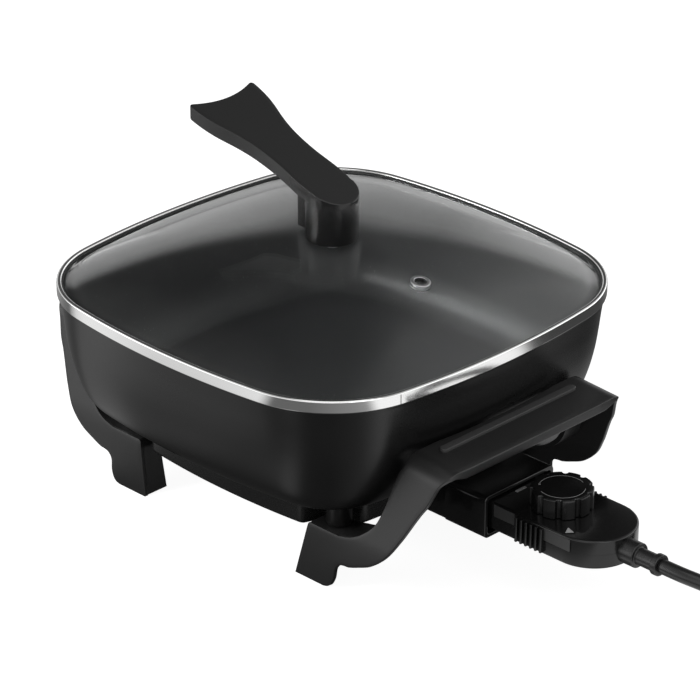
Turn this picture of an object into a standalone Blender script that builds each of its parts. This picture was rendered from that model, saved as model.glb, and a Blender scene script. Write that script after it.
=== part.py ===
# Electric skillet: cast square pan on two moulded handle legs, lift-off glass lid, plug-in heat control.
# Metres, +Z up, front towards -Y. The floor is z = 0. The pan's axis is moved to -X by pan_shift, so
# that the skillet with its heat control plugged in is centred on the origin.

import math

import bmesh
import bpy
from mathutils import Matrix, Vector

mm = 0.001

# Clearances and counts used all over
gap = 0.3 * mm
hair = 0.02 * mm
overrun = 6.0 * mm
crease_angle = math.radians(32.0)
side_steps = 4
corner_steps = 6
round_steps = 24
bore_steps = 16

# Rim and lid outline
rim_half = 150.0 * mm
rim_flatness_share = 3.8467
rim_roundness_share = 0.5
rim_height = 145.6 * mm

# Lid band, a folded steel channel
band_height = 9.4 * mm
band_wall = 0.8 * mm
band_lip = 3.4 * mm
band_edge_radius = 1.2 * mm

# Lid gasket inside the band
gasket_reach = 4.4 * mm
gasket_web = 1.2 * mm
gasket_lip = 1.0 * mm

# Lid glass
glass_thickness = 4.0 * mm
dome_rise = 30.8 * mm
dome_shares = (
    (0.0, 0.0), (0.012, 0.0), (0.024, 0.09), (0.037, 0.21), (0.058, 0.325), (0.092, 0.41),
    (0.16, 0.505), (0.27, 0.625), (0.48, 0.81), (0.70, 0.936), (0.87, 1.0),
)
roundest_share = 0.99
glass_hole_radius = 4.0 * mm

# Steam vent
vent_x = 77.0 * mm
vent_tilt = math.radians(9.0)
vent_hole_radius = 3.0 * mm
vent_wall = 0.8 * mm
vent_flange = 1.9 * mm
vent_flange_height = 1.0 * mm

# Lid handle
post_radius = 16.7 * mm
paddle_height = 61.9 * mm
paddle_slope = 0.328
paddle_length = 100.0 * mm
paddle_bow = 6.3 * mm
tail_half = 27.6 * mm
paddle_thickness = 9.0 * mm
paddle_cover = 3.0 * mm
tail_thickness = 5.4 * mm
paddle_columns = 8
# along: share of paddle_length to the tail, or of post_radius to the nose; wide: share of tail_half
tail_width_shares = (
    (1.0, 1.0), (0.97, 1.0), (0.89, 0.967), (0.79, 0.905), (0.705, 0.825), (0.616, 0.73),
    (0.52, 0.665), (0.414, 0.605), (0.30, 0.598), (0.17, 0.608),
)
nose_shares = (0.0, 0.35, 0.62, 0.82, 0.94, 0.99)
bow_fade_share = 0.25
thin_fade_share = 0.46
strut_back = 24.0 * mm
strut_thickness = 3.4 * mm
strut_half = 4.5 * mm
strut_foot_rise = 4.0 * mm
handle_washer_radius = 15.4 * mm
handle_washer_thickness = 0.5 * mm
lower_washer_radius = 9.0 * mm
lower_washer_thickness = 1.2 * mm
handle_screw_radius = 2.5 * mm
handle_screw_length = 24.0 * mm
handle_screw_head_radius = 5.0 * mm
handle_screw_head_height = 3.0 * mm

# Pan casting
pan_wall = 3.0 * mm
pan_top_inset = 2.0 * mm
pan_underside = 58.6 * mm
pan_floor = 6.0 * mm
pan_taper = 26.0 * mm
pan_corner_loss = 1.3
pan_outer_shares = (
    (0.0, 0.0), (0.133, 0.065), (0.288, 0.123), (0.444, 0.192), (0.586, 0.292),
    (0.728, 0.431), (0.845, 0.585), (0.935, 0.77), (1.0, 1.0),
)
pan_inner_shares = (
    (0.0, 0.0), (0.31, 0.12), (0.62, 0.30), (0.78, 0.45), (0.88, 0.61), (0.95, 0.80), (1.0, 1.05),
)
boss_inset_x = 60.0 * mm
boss_inset_y = 66.0 * mm
boss_radius = 8.25 * mm
post_y = 34.0 * mm
cover_post_radius = 5.0 * mm

# Heater cover under the pan
cover_inset = 50.5 * mm
cover_wall = 1.6 * mm
cover_drop = 1.4 * mm
cover_cove_reach = 30.0 * mm
cover_cove_radius = 28.5 * mm
cover_edge_radius = 2.0 * mm
window_half = 24.0 * mm

# Heating element, its pins and the sensor tube
plug_axis_drop = 10.9 * mm
element_radius = 4.0 * mm
element_loop_inset = 31.5 * mm
element_lead_inset = 2.5 * mm
element_dip_inset = 13.5 * mm
element_turn_inset = 26.5 * mm
element_gap_angle = math.radians(26.0)
element_loop_points = 18
element_steps = 46
pin_y = 14.0 * mm
pin_radius = 2.5 * mm
pin_length = 56.0 * mm
sensor_tube_radius = 5.5 * mm
sensor_tube_wall = 1.5 * mm
sensor_tube_inset = 43.5 * mm

# Socket housing
socket_mouth_reach = 13.0 * mm
socket_depth = 32.0 * mm
socket_back_wall = 2.0 * mm
socket_half = 31.2 * mm
socket_clearance = 0.8 * mm
socket_headroom = 0.9 * mm
socket_wall = 2.6 * mm
socket_corner = 3.4 * mm
socket_footroom = 3.8 * mm
socket_neck_inset = 0.4 * mm
socket_screw_reach = 12.5 * mm
socket_screw_y = 21.5 * mm

# Handle legs
shelf_height = 94.6 * mm
shelf_overhang = 27.0 * mm
shelf_thickness = 3.0 * mm
shelf_lift = 7.3 * mm
shelf_pan_clearance = 1.2 * mm
shelf_end_inset = 70.1 * mm
shelf_rows = 8
shelf_ease = 12.0 * mm
bend_radius = 7.0 * mm
knee_inset = 52.3 * mm
knee_radius = 60.0 * mm
foot_inset = 48.5 * mm
foot_inner_lead = 21.3 * mm
foot_top_height = 36.9 * mm
foot_top_lead = 13.5 * mm
leg_rows = 9
# Outlines of a leg: millimetres in from the shelf's reach, and a share of the rise, which for the inner
# one runs from the foot's top to the shelf and for the outer one from the floor to the shelf
leg_inner_outline = (
    (74.5, 0.000), (64.8, 0.041), (56.5, 0.124), (48.1, 0.270), (43.7, 0.452), (41.4, 0.634),
    (38.8, 0.790), (35.4, 0.918),
)
leg_outer_outline = (
    (83.2, 0.000), (80.0, 0.010), (77.5, 0.034), (75.6, 0.082), (75.0, 0.142), (73.8, 0.170),
    (71.3, 0.193), (67.8, 0.203), (63.7, 0.208), (56.3, 0.236), (45.1, 0.290), (34.5, 0.392),
    (25.5, 0.543), (16.6, 0.705), (11.9, 0.781), (7.3, 0.894), (2.7, 0.965), (0.9, 0.990),
)
flange_thickness = 3.0 * mm
flange_depth = 24.0 * mm
flange_depth_shares = (0.80, 0.66, 1.0, 0.96, 0.90, 0.82, 0.70, 0.58, 0.48, 0.40)
flange_bite = 1.5 * mm
flange_setback = 0.2 * mm
grip_rib_reach = 2.8 * mm
grip_rib_width = 3.6 * mm
grip_rib_height = 2.0 * mm
grip_rib_half = 60.0 * mm

# Screws: shank radius, head radius, head height
leg_screw_radius = 2.0 * mm
leg_screw_head_radius = 4.5 * mm
leg_screw_head_height = 2.8 * mm
leg_screw_bite = 12.0 * mm
small_screw_radius = 1.6 * mm
small_screw_head_radius = 3.2 * mm
small_screw_head_height = 2.2 * mm
small_screw_bite = 8.0 * mm
pan_screw_bite = 4.0 * mm

# Heat control body
control_front_gap = 2.0 * mm
control_step_reach = 21.6 * mm
control_neck_inset = 0.8 * mm
control_round_reach = 60.0 * mm
control_rise = 9.5 * mm
control_wall = 2.0 * mm
control_edge_radius = 1.4 * mm
control_corner = 4.0 * mm
grip_lead = 1.6 * mm
grip_pitch = 4.0 * mm
grip_width = 1.9 * mm
grip_proud = 1.5 * mm
grip_count = 6
thermostat_lead = 6.6 * mm
thermostat_length = 40.0 * mm
thermostat_half = 18.0 * mm
thermostat_height = 8.6 * mm
sleeve_setback = 3.0 * mm
sleeve_wall = 1.2 * mm
sensor_rod_radius = 3.0 * mm
sensor_rod_tip_gap = 10.0 * mm
control_post_reach = 11.0 * mm
control_post_y = 13.5 * mm
control_post_radius = 3.6 * mm
lens_reach = 3.3 * mm
lens_y = -2.5 * mm
lens_width = 2.0 * mm
lens_length = 9.0 * mm
lens_depth = 2.4 * mm
lens_proud = 0.4 * mm
lamp_radius = 1.8 * mm

# Dial on the heat control
dial_reach = 12.9 * mm
dial_radius = 19.0 * mm
dial_height = 13.0 * mm
dial_edge_radius = 0.9 * mm
dial_steps = 40
dial_groove_steps = 10
dial_groove_count = 10
dial_groove_radius = 1.5 * mm
dial_groove_top_skin = 0.7 * mm
shaft_radius = 3.0 * mm
shaft_entry = 7.0 * mm

# Strain relief and cord
relief_bite = 5.3 * mm
relief_collar_length = 15.1 * mm
relief_sleeve_length = 13.0 * mm
relief_ring_length = 4.2 * mm
relief_collar_radius = 8.0 * mm
relief_sleeve_radius = 5.5 * mm
relief_ring_radius = 6.9 * mm
cord_drop = 0.8 * mm
cord_radius = 4.7 * mm
# The free stretch from the strain relief to the coil, chosen by hand: millimetres out from the
# relief's end, millimetres across, and a share of the cord's height where it leaves the relief
cord_route = (
    (0.3, 0.0, 1.0000), (8.7, 0.0, 1.0000), (17.7, 0.8, 0.9915), (26.7, 3.2, 0.9659),
    (36.7, 7.6, 0.9083), (48.2, 14.2, 0.8102), (60.2, 22.6, 0.6439), (71.7, 32.8, 0.4606),
    (82.4, 43.8, 0.2900), (92.4, 55.2, 0.1706), (100.6, 67.2, 0.1237),
)
cord_steps = 16
coil_centre_reach = 45.6 * mm
coil_centre_y = 99.0 * mm
coil_start_radius = 57.0 * mm
coil_pitch = 10.4 * mm
coil_layer = 10.2 * mm
coil_turns_in = 1.2
coil_turns_climb = 0.5
coil_turns_out = 1.2
coil_points_per_turn = 24
tie_thickness = 0.6 * mm
tie_width = 12.0 * mm
tie_angle = math.radians(135.0)
plug_face_radius = 18.2 * mm
plug_face_length = 14.0 * mm
plug_waist_radius = 9.0 * mm
plug_waist_length = 36.0 * mm
plug_tail_radius = 6.4 * mm
plug_tail_length = 52.0 * mm
plug_lead = 22.0 * mm
plug_pin_radius = 2.4 * mm
plug_pin_length = 19.0 * mm
plug_pin_spacing = 19.0 * mm

# Worked out from the sizes above
rim_side_radius = rim_half * rim_flatness_share
rim_corner_radius = rim_half * rim_roundness_share
boss_x = rim_half - boss_inset_x
boss_y = rim_half - boss_inset_y
cover_half = rim_half - cover_inset
cover_cove_start = cover_half - cover_cove_reach
element_loop_radius = cover_half - element_loop_inset
element_lead_x = cover_half - element_lead_inset
element_dip_x = cover_half - element_dip_inset
element_turn_x = cover_half - element_turn_inset
plug_axis_height = pan_underside - plug_axis_drop
sensor_tube_start = cover_half - sensor_tube_inset
sensor_rod_tip_x = sensor_tube_start + sensor_rod_tip_gap
shelf_reach = rim_half + shelf_overhang
shelf_half = rim_half - shelf_end_inset
knee_y = rim_half - knee_inset
foot_y = rim_half - foot_inset
foot_inner_x = boss_x - foot_inner_lead
foot_top_x = boss_x - foot_top_lead
grip_rib_x = rim_half + grip_rib_reach
socket_mouth_x = rim_half + socket_mouth_reach
socket_back_x = socket_mouth_x - socket_depth
socket_step_x = socket_back_x - socket_back_wall
socket_screw_x = cover_half + socket_screw_reach
control_half = socket_half - socket_wall - socket_clearance
control_top = plug_axis_height + control_rise
control_bottom = plug_axis_height - control_rise
socket_bottom = control_bottom - socket_footroom - socket_wall
cover_bottom = socket_bottom - cover_drop
socket_top = control_top + socket_headroom + socket_wall
control_front_x = socket_back_x + control_front_gap
control_step_x = socket_mouth_x + control_step_reach
control_round_x = socket_mouth_x + control_round_reach
control_post_x = control_round_x + control_post_reach
control_end_x = control_round_x + control_half
grip_start_x = control_step_x + grip_lead
thermostat_front_x = control_step_x - thermostat_lead
sleeve_start_x = control_front_x + sleeve_setback
lens_x = socket_mouth_x + lens_reach
dial_x = control_step_x + dial_reach
dial_top = control_top + dial_height
relief_start_x = control_end_x - relief_bite
relief_collar_end_x = relief_start_x + relief_collar_length
relief_ring_x = relief_collar_end_x + relief_sleeve_length
relief_end_x = relief_ring_x + relief_ring_length
cord_height = plug_axis_height - cord_drop
coil_centre_x = relief_end_x + coil_centre_reach
pan_shift = (shelf_reach - control_end_x) / 2
lid_bottom = rim_height - band_height
pan_top = lid_bottom - gap
glass_edge_inset = band_wall + gap + gasket_web + gap
glass_edge_top = rim_height - band_wall - gap - gasket_lip - gap
dome_top = glass_edge_top + dome_rise
paddle_axis_height = rim_height + paddle_height
parting = (control_top + control_bottom) / 2
floor_tie = tie_thickness + gap


def material(name, colour, roughness, metallic=0.0):
    made = bpy.data.materials.new(name)
    made.use_nodes = True
    shader = made.node_tree.nodes["Principled BSDF"]
    shader.inputs["Base Color"].default_value = (*colour, 1.0)
    shader.inputs["Roughness"].default_value = roughness
    shader.inputs["Metallic"].default_value = metallic
    return made


def empty(name, location, parent=None):
    made = bpy.data.objects.new(name, None)
    bpy.context.collection.objects.link(made)
    made.parent = parent
    made.location = location
    return made


def solid(name, points, faces, look, parent, origin=(0.0, 0.0, 0.0)):
    """An object from points in skillet coordinates; origin is its own origin there."""
    mesh = bpy.data.meshes.new(name)
    shift = Vector(origin)
    mesh.from_pydata([Vector(p) - shift for p in points], [], faces)
    work = bmesh.new()
    work.from_mesh(mesh)
    bmesh.ops.recalc_face_normals(work, faces=work.faces)
    work.to_mesh(mesh)
    work.free()
    mesh.shade_smooth()
    mesh.set_sharp_from_angle(angle=crease_angle)
    made = bpy.data.objects.new(name, mesh)
    bpy.context.collection.objects.link(made)
    if look is not None:
        mesh.materials.append(look)
    made.parent = parent
    made.location = shift - skillet_place(parent)
    return made


def skillet_place(parent):
    """Where a parent empty stands in skillet coordinates."""
    place = Vector((0.0, 0.0, 0.0))
    while parent is not None and parent.parent is not None:
        place += parent.location
        parent = parent.parent
    return place


def loft_faces(rings, count, closed):
    faces = []
    last = rings if closed else rings - 1
    for r in range(last):
        a, b = r * count, ((r + 1) % rings) * count
        for i in range(count):
            j = (i + 1) % count
            faces.append((a + i, a + j, b + j, b + i))
    if not closed:
        faces.append(tuple(range(count)))
        faces.append(tuple(range((rings - 1) * count, rings * count)))
    return faces


def loft(name, rings, look, parent, closed=False, origin=(0.0, 0.0, 0.0)):
    """Rings of equally many points joined in turn, capped at both ends unless closed on itself."""
    points = [p for ring in rings for p in ring]
    return solid(name, points, loft_faces(len(rings), len(rings[0]), closed), look, parent, origin)


def rounded_square(half, side_radius, corner_radius):
    """Barrel-sided square: four side arcs and four corner arcs that touch them from inside."""
    centre = side_radius - half
    reach = side_radius - corner_radius
    root = math.sqrt(max(8 * reach * reach - 4 * centre * centre, 0.0))
    corner = (root - 2 * centre) / 4
    angle = math.atan2(corner + centre, corner)
    quarter = []
    for i in range(side_steps):
        a = math.pi - angle + (2 * angle - math.pi) * i / side_steps
        quarter.append((side_radius * math.cos(a), side_radius * math.sin(a) - centre))
    for i in range(corner_steps):
        a = angle + (math.pi / 2 - 2 * angle) * i / corner_steps
        quarter.append((corner + corner_radius * math.cos(a), corner + corner_radius * math.sin(a)))
    outline = []
    for turn in ((1, 0), (0, -1), (-1, 0), (0, 1)):
        outline += [(x * turn[0] - y * turn[1], x * turn[1] + y * turn[0]) for x, y in quarter]
    return outline


def rim_outline(inset, corner_loss=1.0):
    return rounded_square(
        rim_half - inset, rim_side_radius - inset, rim_corner_radius - corner_loss * inset
    )


def at_height(outline, z):
    return [(x, y, z) for x, y in outline]


def circle(radius, count, start=0.0):
    angles = [start + 2 * math.pi * i / count for i in range(count)]
    return [(radius * math.cos(a), radius * math.sin(a)) for a in angles]


def turned_points(profile, count, place, axis):
    """Rings of (distance along axis, radius) pairs about an axis 'x', 'y' or 'z' through place."""
    rings = []
    for along, radius in profile:
        ring = []
        for u, v in circle(radius, count, math.pi / count):
            offset = {"x": (along, u, v), "y": (v, along, u), "z": (u, v, along)}[axis]
            ring.append(tuple(p + q for p, q in zip(place, offset)))
        rings.append(ring)
    return rings


def turned(
    name, profile, place, axis, look, parent, count=round_steps, closed=False, origin=(0.0, 0.0, 0.0),
):
    return loft(name, turned_points(profile, count, place, axis), look, parent, closed, origin)


def joined_cylinders(name, bars, parent, count=bore_steps):
    """One cutter or one set of bosses: bars are (place, axis, from, to, radius)."""
    points, faces = [], []
    for place, axis, low, high, radius in bars:
        rings = turned_points(((low, radius), (high, radius)), count, place, axis)
        start = len(points)
        points += [p for ring in rings for p in ring]
        faces += [tuple(start + i for i in face) for face in loft_faces(2, count, False)]
    return guide(solid(name, points, faces, None, parent))


def joined_boxes(name, boxes, parent):
    points, faces = [], []
    for low, high in boxes:
        start = len(points)
        points += [
            (x, y, z) for z in (low[2], high[2])
            for x, y in ((low[0], low[1]), (high[0], low[1]), (high[0], high[1]), (low[0], high[1]))
        ]
        faces += [tuple(start + i for i in face) for face in loft_faces(2, 4, False)]
    return guide(solid(name, points, faces, None, parent))


def box(name, low, high, look, parent, origin=(0.0, 0.0, 0.0)):
    plan = ((low[0], low[1]), (high[0], low[1]), (high[0], high[1]), (low[0], high[1]))
    rings = [at_height(plan, z) for z in (low[2], high[2])]
    return loft(name, rings, look, parent, origin=origin)


def guide(made):
    made.hide_render = True
    made.display_type = "WIRE"
    return made


def combine(target, tool, operation):
    step = target.modifiers.new(tool.name, "BOOLEAN")
    step.object = tool
    step.operation = operation
    step.solver = "EXACT"


def screw(name, place, length, radius, head_radius, head_height, look, parent):
    """A screw driven upwards: place is the seat under its head, length runs up from there."""
    profile = ((-head_height, head_radius), (0.0, head_radius), (0.0, radius), (length, radius))
    return turned(name, profile, place, "z", look, parent, count=bore_steps)


def rounded_through(points, steps):
    """A Catmull-Rom curve through the given points, with so many steps between each two."""
    ends = [2 * points[0] - points[1]] + list(points) + [2 * points[-1] - points[-2]]
    fine = []
    for i in range(1, len(ends) - 2):
        a, b, c, d = ends[i - 1:i + 3]
        for k in range(steps):
            t = k / steps
            fine.append(
                0.5 * (2 * b + (c - a) * t + (2 * a - 5 * b + 4 * c - d) * t ** 2
                       + (3 * b - a - 3 * c + d) * t ** 3)
            )
    fine.append(points[-1])
    return fine


def smooth_path(points, count):
    """Points at even steps along a smooth curve through the given ones."""
    fine = rounded_through(points, 24)
    lengths = [0.0]
    for p, q in zip(fine, fine[1:]):
        lengths.append(lengths[-1] + (q - p).length)
    even, k = [], 0
    for i in range(count):
        want = lengths[-1] * i / (count - 1)
        while k < len(lengths) - 2 and lengths[k + 1] < want:
            k += 1
        share = (want - lengths[k]) / (lengths[k + 1] - lengths[k])
        even.append(fine[k].lerp(fine[k + 1], share))
    return even


def tube(name, points, radius, resolution, look, parent):
    curve = bpy.data.curves.new(name, "CURVE")
    curve.dimensions = "3D"
    curve.bevel_depth = radius
    curve.bevel_resolution = resolution
    curve.use_fill_caps = True
    spline = curve.splines.new("POLY")
    spline.points.add(len(points) - 1)
    place = skillet_place(parent)
    for slot, p in zip(spline.points, points):
        slot.co = (*(p - place), 1.0)
    made = bpy.data.objects.new(name, curve)
    bpy.context.collection.objects.link(made)
    curve.materials.append(look)
    made.parent = parent
    return made


def path_length(points):
    return sum((q - p).length for p, q in zip(points, points[1:]))


def between(x, table):
    """Straight interpolation in a table of (x, y) pairs with rising x."""
    if x <= table[0][0]:
        return table[0][1]
    for (x0, y0), (x1, y1) in zip(table, table[1:]):
        if x <= x1:
            return y0 + (y1 - y0) * (x - x0) / (x1 - x0)
    return table[-1][1]


# The lid


def make_lid_band(lid, look):
    h, w, e, lip = band_height, band_wall, band_edge_radius, band_lip
    soft = e * (1 - math.sqrt(0.5))
    section = (
        (0.0, -h), (0.0, -e), (soft, -soft), (e, 0.0), (lip, 0.0), (lip, -w), (w, -w),
        (w, w - h), (lip, w - h), (lip, -h),
    )
    rings = [at_height(rim_outline(inset), rim_height + z) for inset, z in section]
    return loft("lid_rim_band", rings, look, lid, closed=True)


def make_lid_gasket(lid, look):
    outer = band_wall + gap
    top = rim_height - band_wall - gap
    bottom = lid_bottom + band_wall + gap
    slot_top = top - gasket_lip
    slot_bottom = slot_top - glass_thickness - 2 * gap
    slot = outer + gasket_web
    section = (
        (outer, bottom), (outer, top), (gasket_reach, top), (gasket_reach, slot_top),
        (slot, slot_top), (slot, slot_bottom), (gasket_reach, slot_bottom), (gasket_reach, bottom),
    )
    rings = [at_height(rim_outline(inset), z) for inset, z in section]
    return loft("lid_gasket", rings, look, lid, closed=True)


def dome_section():
    """(inset, height, share) points of the glass's top surface, from its edge to the middle."""
    span = rim_half - glass_edge_inset
    return [(glass_edge_inset + s * span, glass_edge_top + h * dome_rise, s) for s, h in dome_shares]


def dome_ring(inset, height, share):
    half = rim_half - inset
    share = min(share, roundest_share)
    roundness = rim_roundness_share + (1 - rim_roundness_share) * share
    flatness = rim_flatness_share + (1 - rim_flatness_share) * share
    return at_height(rounded_square(half, half * flatness, half * roundness), height)


def make_lid_glass(lid, look):
    top = dome_section()
    under = []
    for i, (inset, height, share) in enumerate(top):
        a, b = top[max(i - 1, 0)], top[min(i + 1, len(top) - 1)]
        run, rise = b[0] - a[0], b[1] - a[1]
        size = math.hypot(run, rise)
        reach = glass_thickness * rise / size if 0 < i else 0.0
        under.append((inset + reach, height - glass_thickness * run / size, share))
    middle = rim_half - glass_hole_radius
    rings = [dome_ring(*p) for p in top] + [dome_ring(middle, dome_top, 1.0)]
    rings += [dome_ring(middle, dome_top - glass_thickness, 1.0)] + [dome_ring(*p) for p in reversed(under)]
    glass = loft("lid_glass", rings, look, lid, closed=True)
    hole = vent_hole_radius + vent_wall + gap
    bore = turned(
        "vent_bore", ((-overrun, hole), (overrun, hole)), (0.0, 0.0, 0.0), "z", None, lid, count=bore_steps,
    )
    bore.location = vent_place() - skillet_place(lid)
    bore.rotation_euler = (0.0, vent_tilt, 0.0)
    combine(glass, guide(bore), "DIFFERENCE")
    return glass


def vent_place():
    normal = Vector((math.sin(vent_tilt), 0.0, math.cos(vent_tilt)))
    return Vector((vent_x, 0.0, glass_height(vent_x))) - normal * (glass_thickness / 2)


def make_vent(lid, look):
    hole, wall = vent_hole_radius, vent_hole_radius + vent_wall
    half = glass_thickness / 2 + gap
    flange = wall + vent_flange
    tall = half + vent_flange_height
    profile = (
        (-tall, hole), (-tall, flange), (-half, flange), (-half, wall), (half, wall), (half, flange),
        (tall - vent_wall / 2, flange), (tall, flange - vent_wall), (tall, hole),
    )
    vent = turned("vent_eyelet", profile, (0.0, 0.0, 0.0), "z", look, lid, closed=True)
    vent.location = vent_place() - skillet_place(lid)
    vent.rotation_euler = (0.0, vent_tilt, 0.0)
    return vent


def paddle_top(x):
    return paddle_axis_height - paddle_slope * x


def paddle_stations():
    """(x, half width, bow, thickness) from the tail to the rounded nose."""
    rows = []
    for along, wide in tail_width_shares:
        bow = max(0.0, (along - 1 + bow_fade_share) / bow_fade_share)
        thin = max(0.0, (along - 1 + thin_fade_share) / thin_fade_share)
        thick = paddle_thickness + (tail_thickness - paddle_thickness) * thin
        rows.append((-along * paddle_length, wide * tail_half, paddle_bow * bow, thick))
    for share in nose_shares:
        rows.append((share * post_radius, post_radius * math.sqrt(1 - share * share), 0.0, paddle_thickness))
    return rows


def make_lid_handle(lid, look):
    points, faces = [], []
    rows = paddle_stations()
    width = paddle_columns + 1
    for x, half, bow, thick in rows:
        for level in (0, 1):
            for i in range(width):
                across = 2 * i / paddle_columns - 1
                px = x + bow * (1 - across * across)
                points.append((px, across * half, paddle_top(px) - level * thick))
    stride = 2 * width
    for r in range(len(rows) - 1):
        a, b = r * stride, (r + 1) * stride
        for i in range(paddle_columns):
            faces.append((a + i, a + i + 1, b + i + 1, b + i))
            faces.append((a + width + i, b + width + i, b + width + i + 1, a + width + i + 1))
        faces.append((a, b, b + width, a + width))
        faces.append((a + width - 1, a + stride - 1, b + stride - 1, b + width - 1))
    for a in (0, (len(rows) - 1) * stride):
        for i in range(paddle_columns):
            faces.append((a + i, a + i + 1, a + width + i + 1, a + width + i))
    handle = solid("lid_handle", points, faces, look, lid)
    seat = dome_top + 2 * gap + handle_washer_thickness
    ring = circle(post_radius - hair, round_steps)
    post = loft("handle_post", [
        at_height(ring, seat),
        [(x, y, paddle_top(x) - paddle_cover) for x, y in ring],
    ], None, lid)
    combine(handle, guide(post), "UNION")
    strut_front = strut_back - strut_thickness
    strut_foot = glass_height(strut_front) + strut_foot_rise
    strut = box(
        "handle_strut", (-strut_back, -strut_half, strut_foot),
        (-strut_front, strut_half, paddle_top(-strut_front) - paddle_cover), None, lid,
    )
    combine(handle, guide(strut), "UNION")
    bore = joined_cylinders("handle_screw_bore", [(
        (0.0, 0.0, seat), "z", -overrun, handle_screw_length - glass_thickness, handle_screw_radius + gap,
    )], lid)
    combine(handle, bore, "DIFFERENCE")
    return handle


def glass_height(distance):
    """Top of the glass on the line through the middle, that far from the axis."""
    table = sorted((rim_half - inset, height) for inset, height, share in dome_section())
    return between(distance, table)


def make_handle_fixings(lid, looks):
    inner = handle_screw_radius + gap
    low = dome_top + gap
    high = low + handle_washer_thickness
    washer = ((low, inner), (low, handle_washer_radius), (high, handle_washer_radius), (high, inner))
    turned("handle_seal", washer, (0.0, 0.0, 0.0), "z", looks["silicone"], lid, closed=True)
    high = dome_top - glass_thickness - gap
    low = high - lower_washer_thickness
    washer = ((low, inner), (low, lower_washer_radius), (high, lower_washer_radius), (high, inner))
    turned("handle_washer", washer, (0.0, 0.0, 0.0), "z", looks["steel"], lid, closed=True)
    screw(
        "handle_screw", (0.0, 0.0, low - gap), handle_screw_length, handle_screw_radius,
        handle_screw_head_radius, handle_screw_head_height, looks["steel"], lid,
    )


# The pan and its heater


def pan_depth():
    return pan_top - pan_underside


def pan_outer_inset(z):
    table = [(-d, pan_top_inset + t * pan_taper) for d, t in pan_outer_shares]
    return between((z - pan_top) / pan_depth(), sorted(table))


def corner_places(x, y):
    return [(sx * x, sy * y) for sx in (-1, 1) for sy in (-1, 1)]


def make_pan(base, look):
    rings = []
    for depth, taper in reversed(pan_outer_shares):
        inset = pan_top_inset + taper * pan_taper
        rings.append(at_height(rim_outline(inset, pan_corner_loss), pan_top - depth * pan_depth()))
    for depth, taper in pan_inner_shares:
        inset = pan_top_inset + pan_wall + taper * pan_taper
        z = pan_top - depth * (pan_depth() - pan_floor)
        rings.append(at_height(rim_outline(inset, pan_corner_loss), z))
    pan = loft("pan_body", rings, look, base)
    root = pan_underside + pan_floor / 2
    seat = foot_top_height + gap
    cover_seat = cover_bottom + cover_wall + gap
    bosses = [((x, y, 0.0), "z", seat, root, boss_radius) for x, y in corner_places(boss_x, boss_y)]
    bosses += [((0.0, y, 0.0), "z", cover_seat, root, cover_post_radius) for y in (-post_y, post_y)]
    combine(pan, joined_cylinders("pan_bosses", bosses, base), "UNION")
    holes = [
        ((x, y, seat), "z", -overrun, leg_screw_bite + gap, leg_screw_radius + gap)
        for x, y in corner_places(boss_x, boss_y)
    ]
    holes += [
        ((0.0, y, cover_seat), "z", -overrun, small_screw_bite + gap, small_screw_radius + gap)
        for y in (-post_y, post_y)
    ]
    holes += [
        ((socket_screw_x, y, pan_underside), "z", -overrun, pan_screw_bite + gap, small_screw_radius + gap)
        for y in (-socket_screw_y, socket_screw_y)
    ]
    combine(pan, joined_cylinders("pan_screw_holes", holes, base), "DIFFERENCE")
    return pan


def coved_square(inset):
    """The heater cover's plan: barrel sides that stop at a hollow quarter round each leg boss."""
    centre = rim_side_radius - cover_half
    side = rim_side_radius - inset
    start = cover_cove_start - inset
    across = math.sqrt(side * side - start * start) - centre
    middle = (start + across) / 2
    half_chord = (across - start) * math.sqrt(0.5)
    radius = cover_cove_radius + inset
    cove = middle + math.sqrt(radius * radius - half_chord * half_chord) * math.sqrt(0.5)
    first = math.atan2(across - cove, start - cove)
    last = math.atan2(start - cove, across - cove)
    first += 2 * math.pi if first < 0 else 0.0
    last += 2 * math.pi if last < 0 else 0.0
    edge = math.atan2(across + centre, start)
    quarter = []
    for i in range(side_steps):
        a = math.pi - edge + (2 * edge - math.pi) * i / side_steps
        quarter.append((side * math.cos(a), side * math.sin(a) - centre))
    for i in range(corner_steps):
        a = first + (last - first) * i / corner_steps
        quarter.append((cove + radius * math.cos(a), cove + radius * math.sin(a)))
    outline = []
    for turn in ((1, 0), (0, -1), (-1, 0), (0, 1)):
        outline += [(x * turn[0] - y * turn[1], x * turn[1] + y * turn[0]) for x, y in quarter]
    return outline


def make_heater_cover(base, look):
    top = pan_underside - gap
    low = cover_bottom
    inner = coved_square(cover_wall)
    outer = coved_square(0.0)
    edge = coved_square(cover_edge_radius)
    rings = [
        at_height(edge, low), at_height(outer, low + cover_edge_radius), at_height(outer, top),
        at_height(inner, top), at_height(inner, low + cover_wall),
    ]
    cover = loft("heater_cover", rings, look, base)
    window = joined_boxes("cover_window", [(
        (cover_half - overrun, -window_half, low + cover_wall + overrun),
        (cover_half + overrun, window_half, top + overrun),
    )], base)
    combine(cover, window, "DIFFERENCE")
    holes = [
        ((0.0, y, low), "z", -overrun, overrun, small_screw_radius + gap) for y in (-post_y, post_y)
    ]
    combine(cover, joined_cylinders("cover_screw_holes", holes, base), "DIFFERENCE")
    return cover


def make_heating_element(base, look):
    height = pan_underside - gap - element_radius
    lead = [(element_lead_x, plug_axis_height), (element_dip_x, plug_axis_height), (element_turn_x, height)]
    route = [Vector((x, pin_y, z)) for x, z in lead]
    for i in range(element_loop_points):
        a = element_gap_angle + (2 * math.pi - 2 * element_gap_angle) * i / (element_loop_points - 1)
        route.append(Vector((element_loop_radius * math.cos(a), element_loop_radius * math.sin(a), height)))
    route += [Vector((x, -pin_y, z)) for x, z in reversed(lead)]
    return tube("heating_element", smooth_path(route, element_steps), element_radius, 1, look, base)


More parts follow.
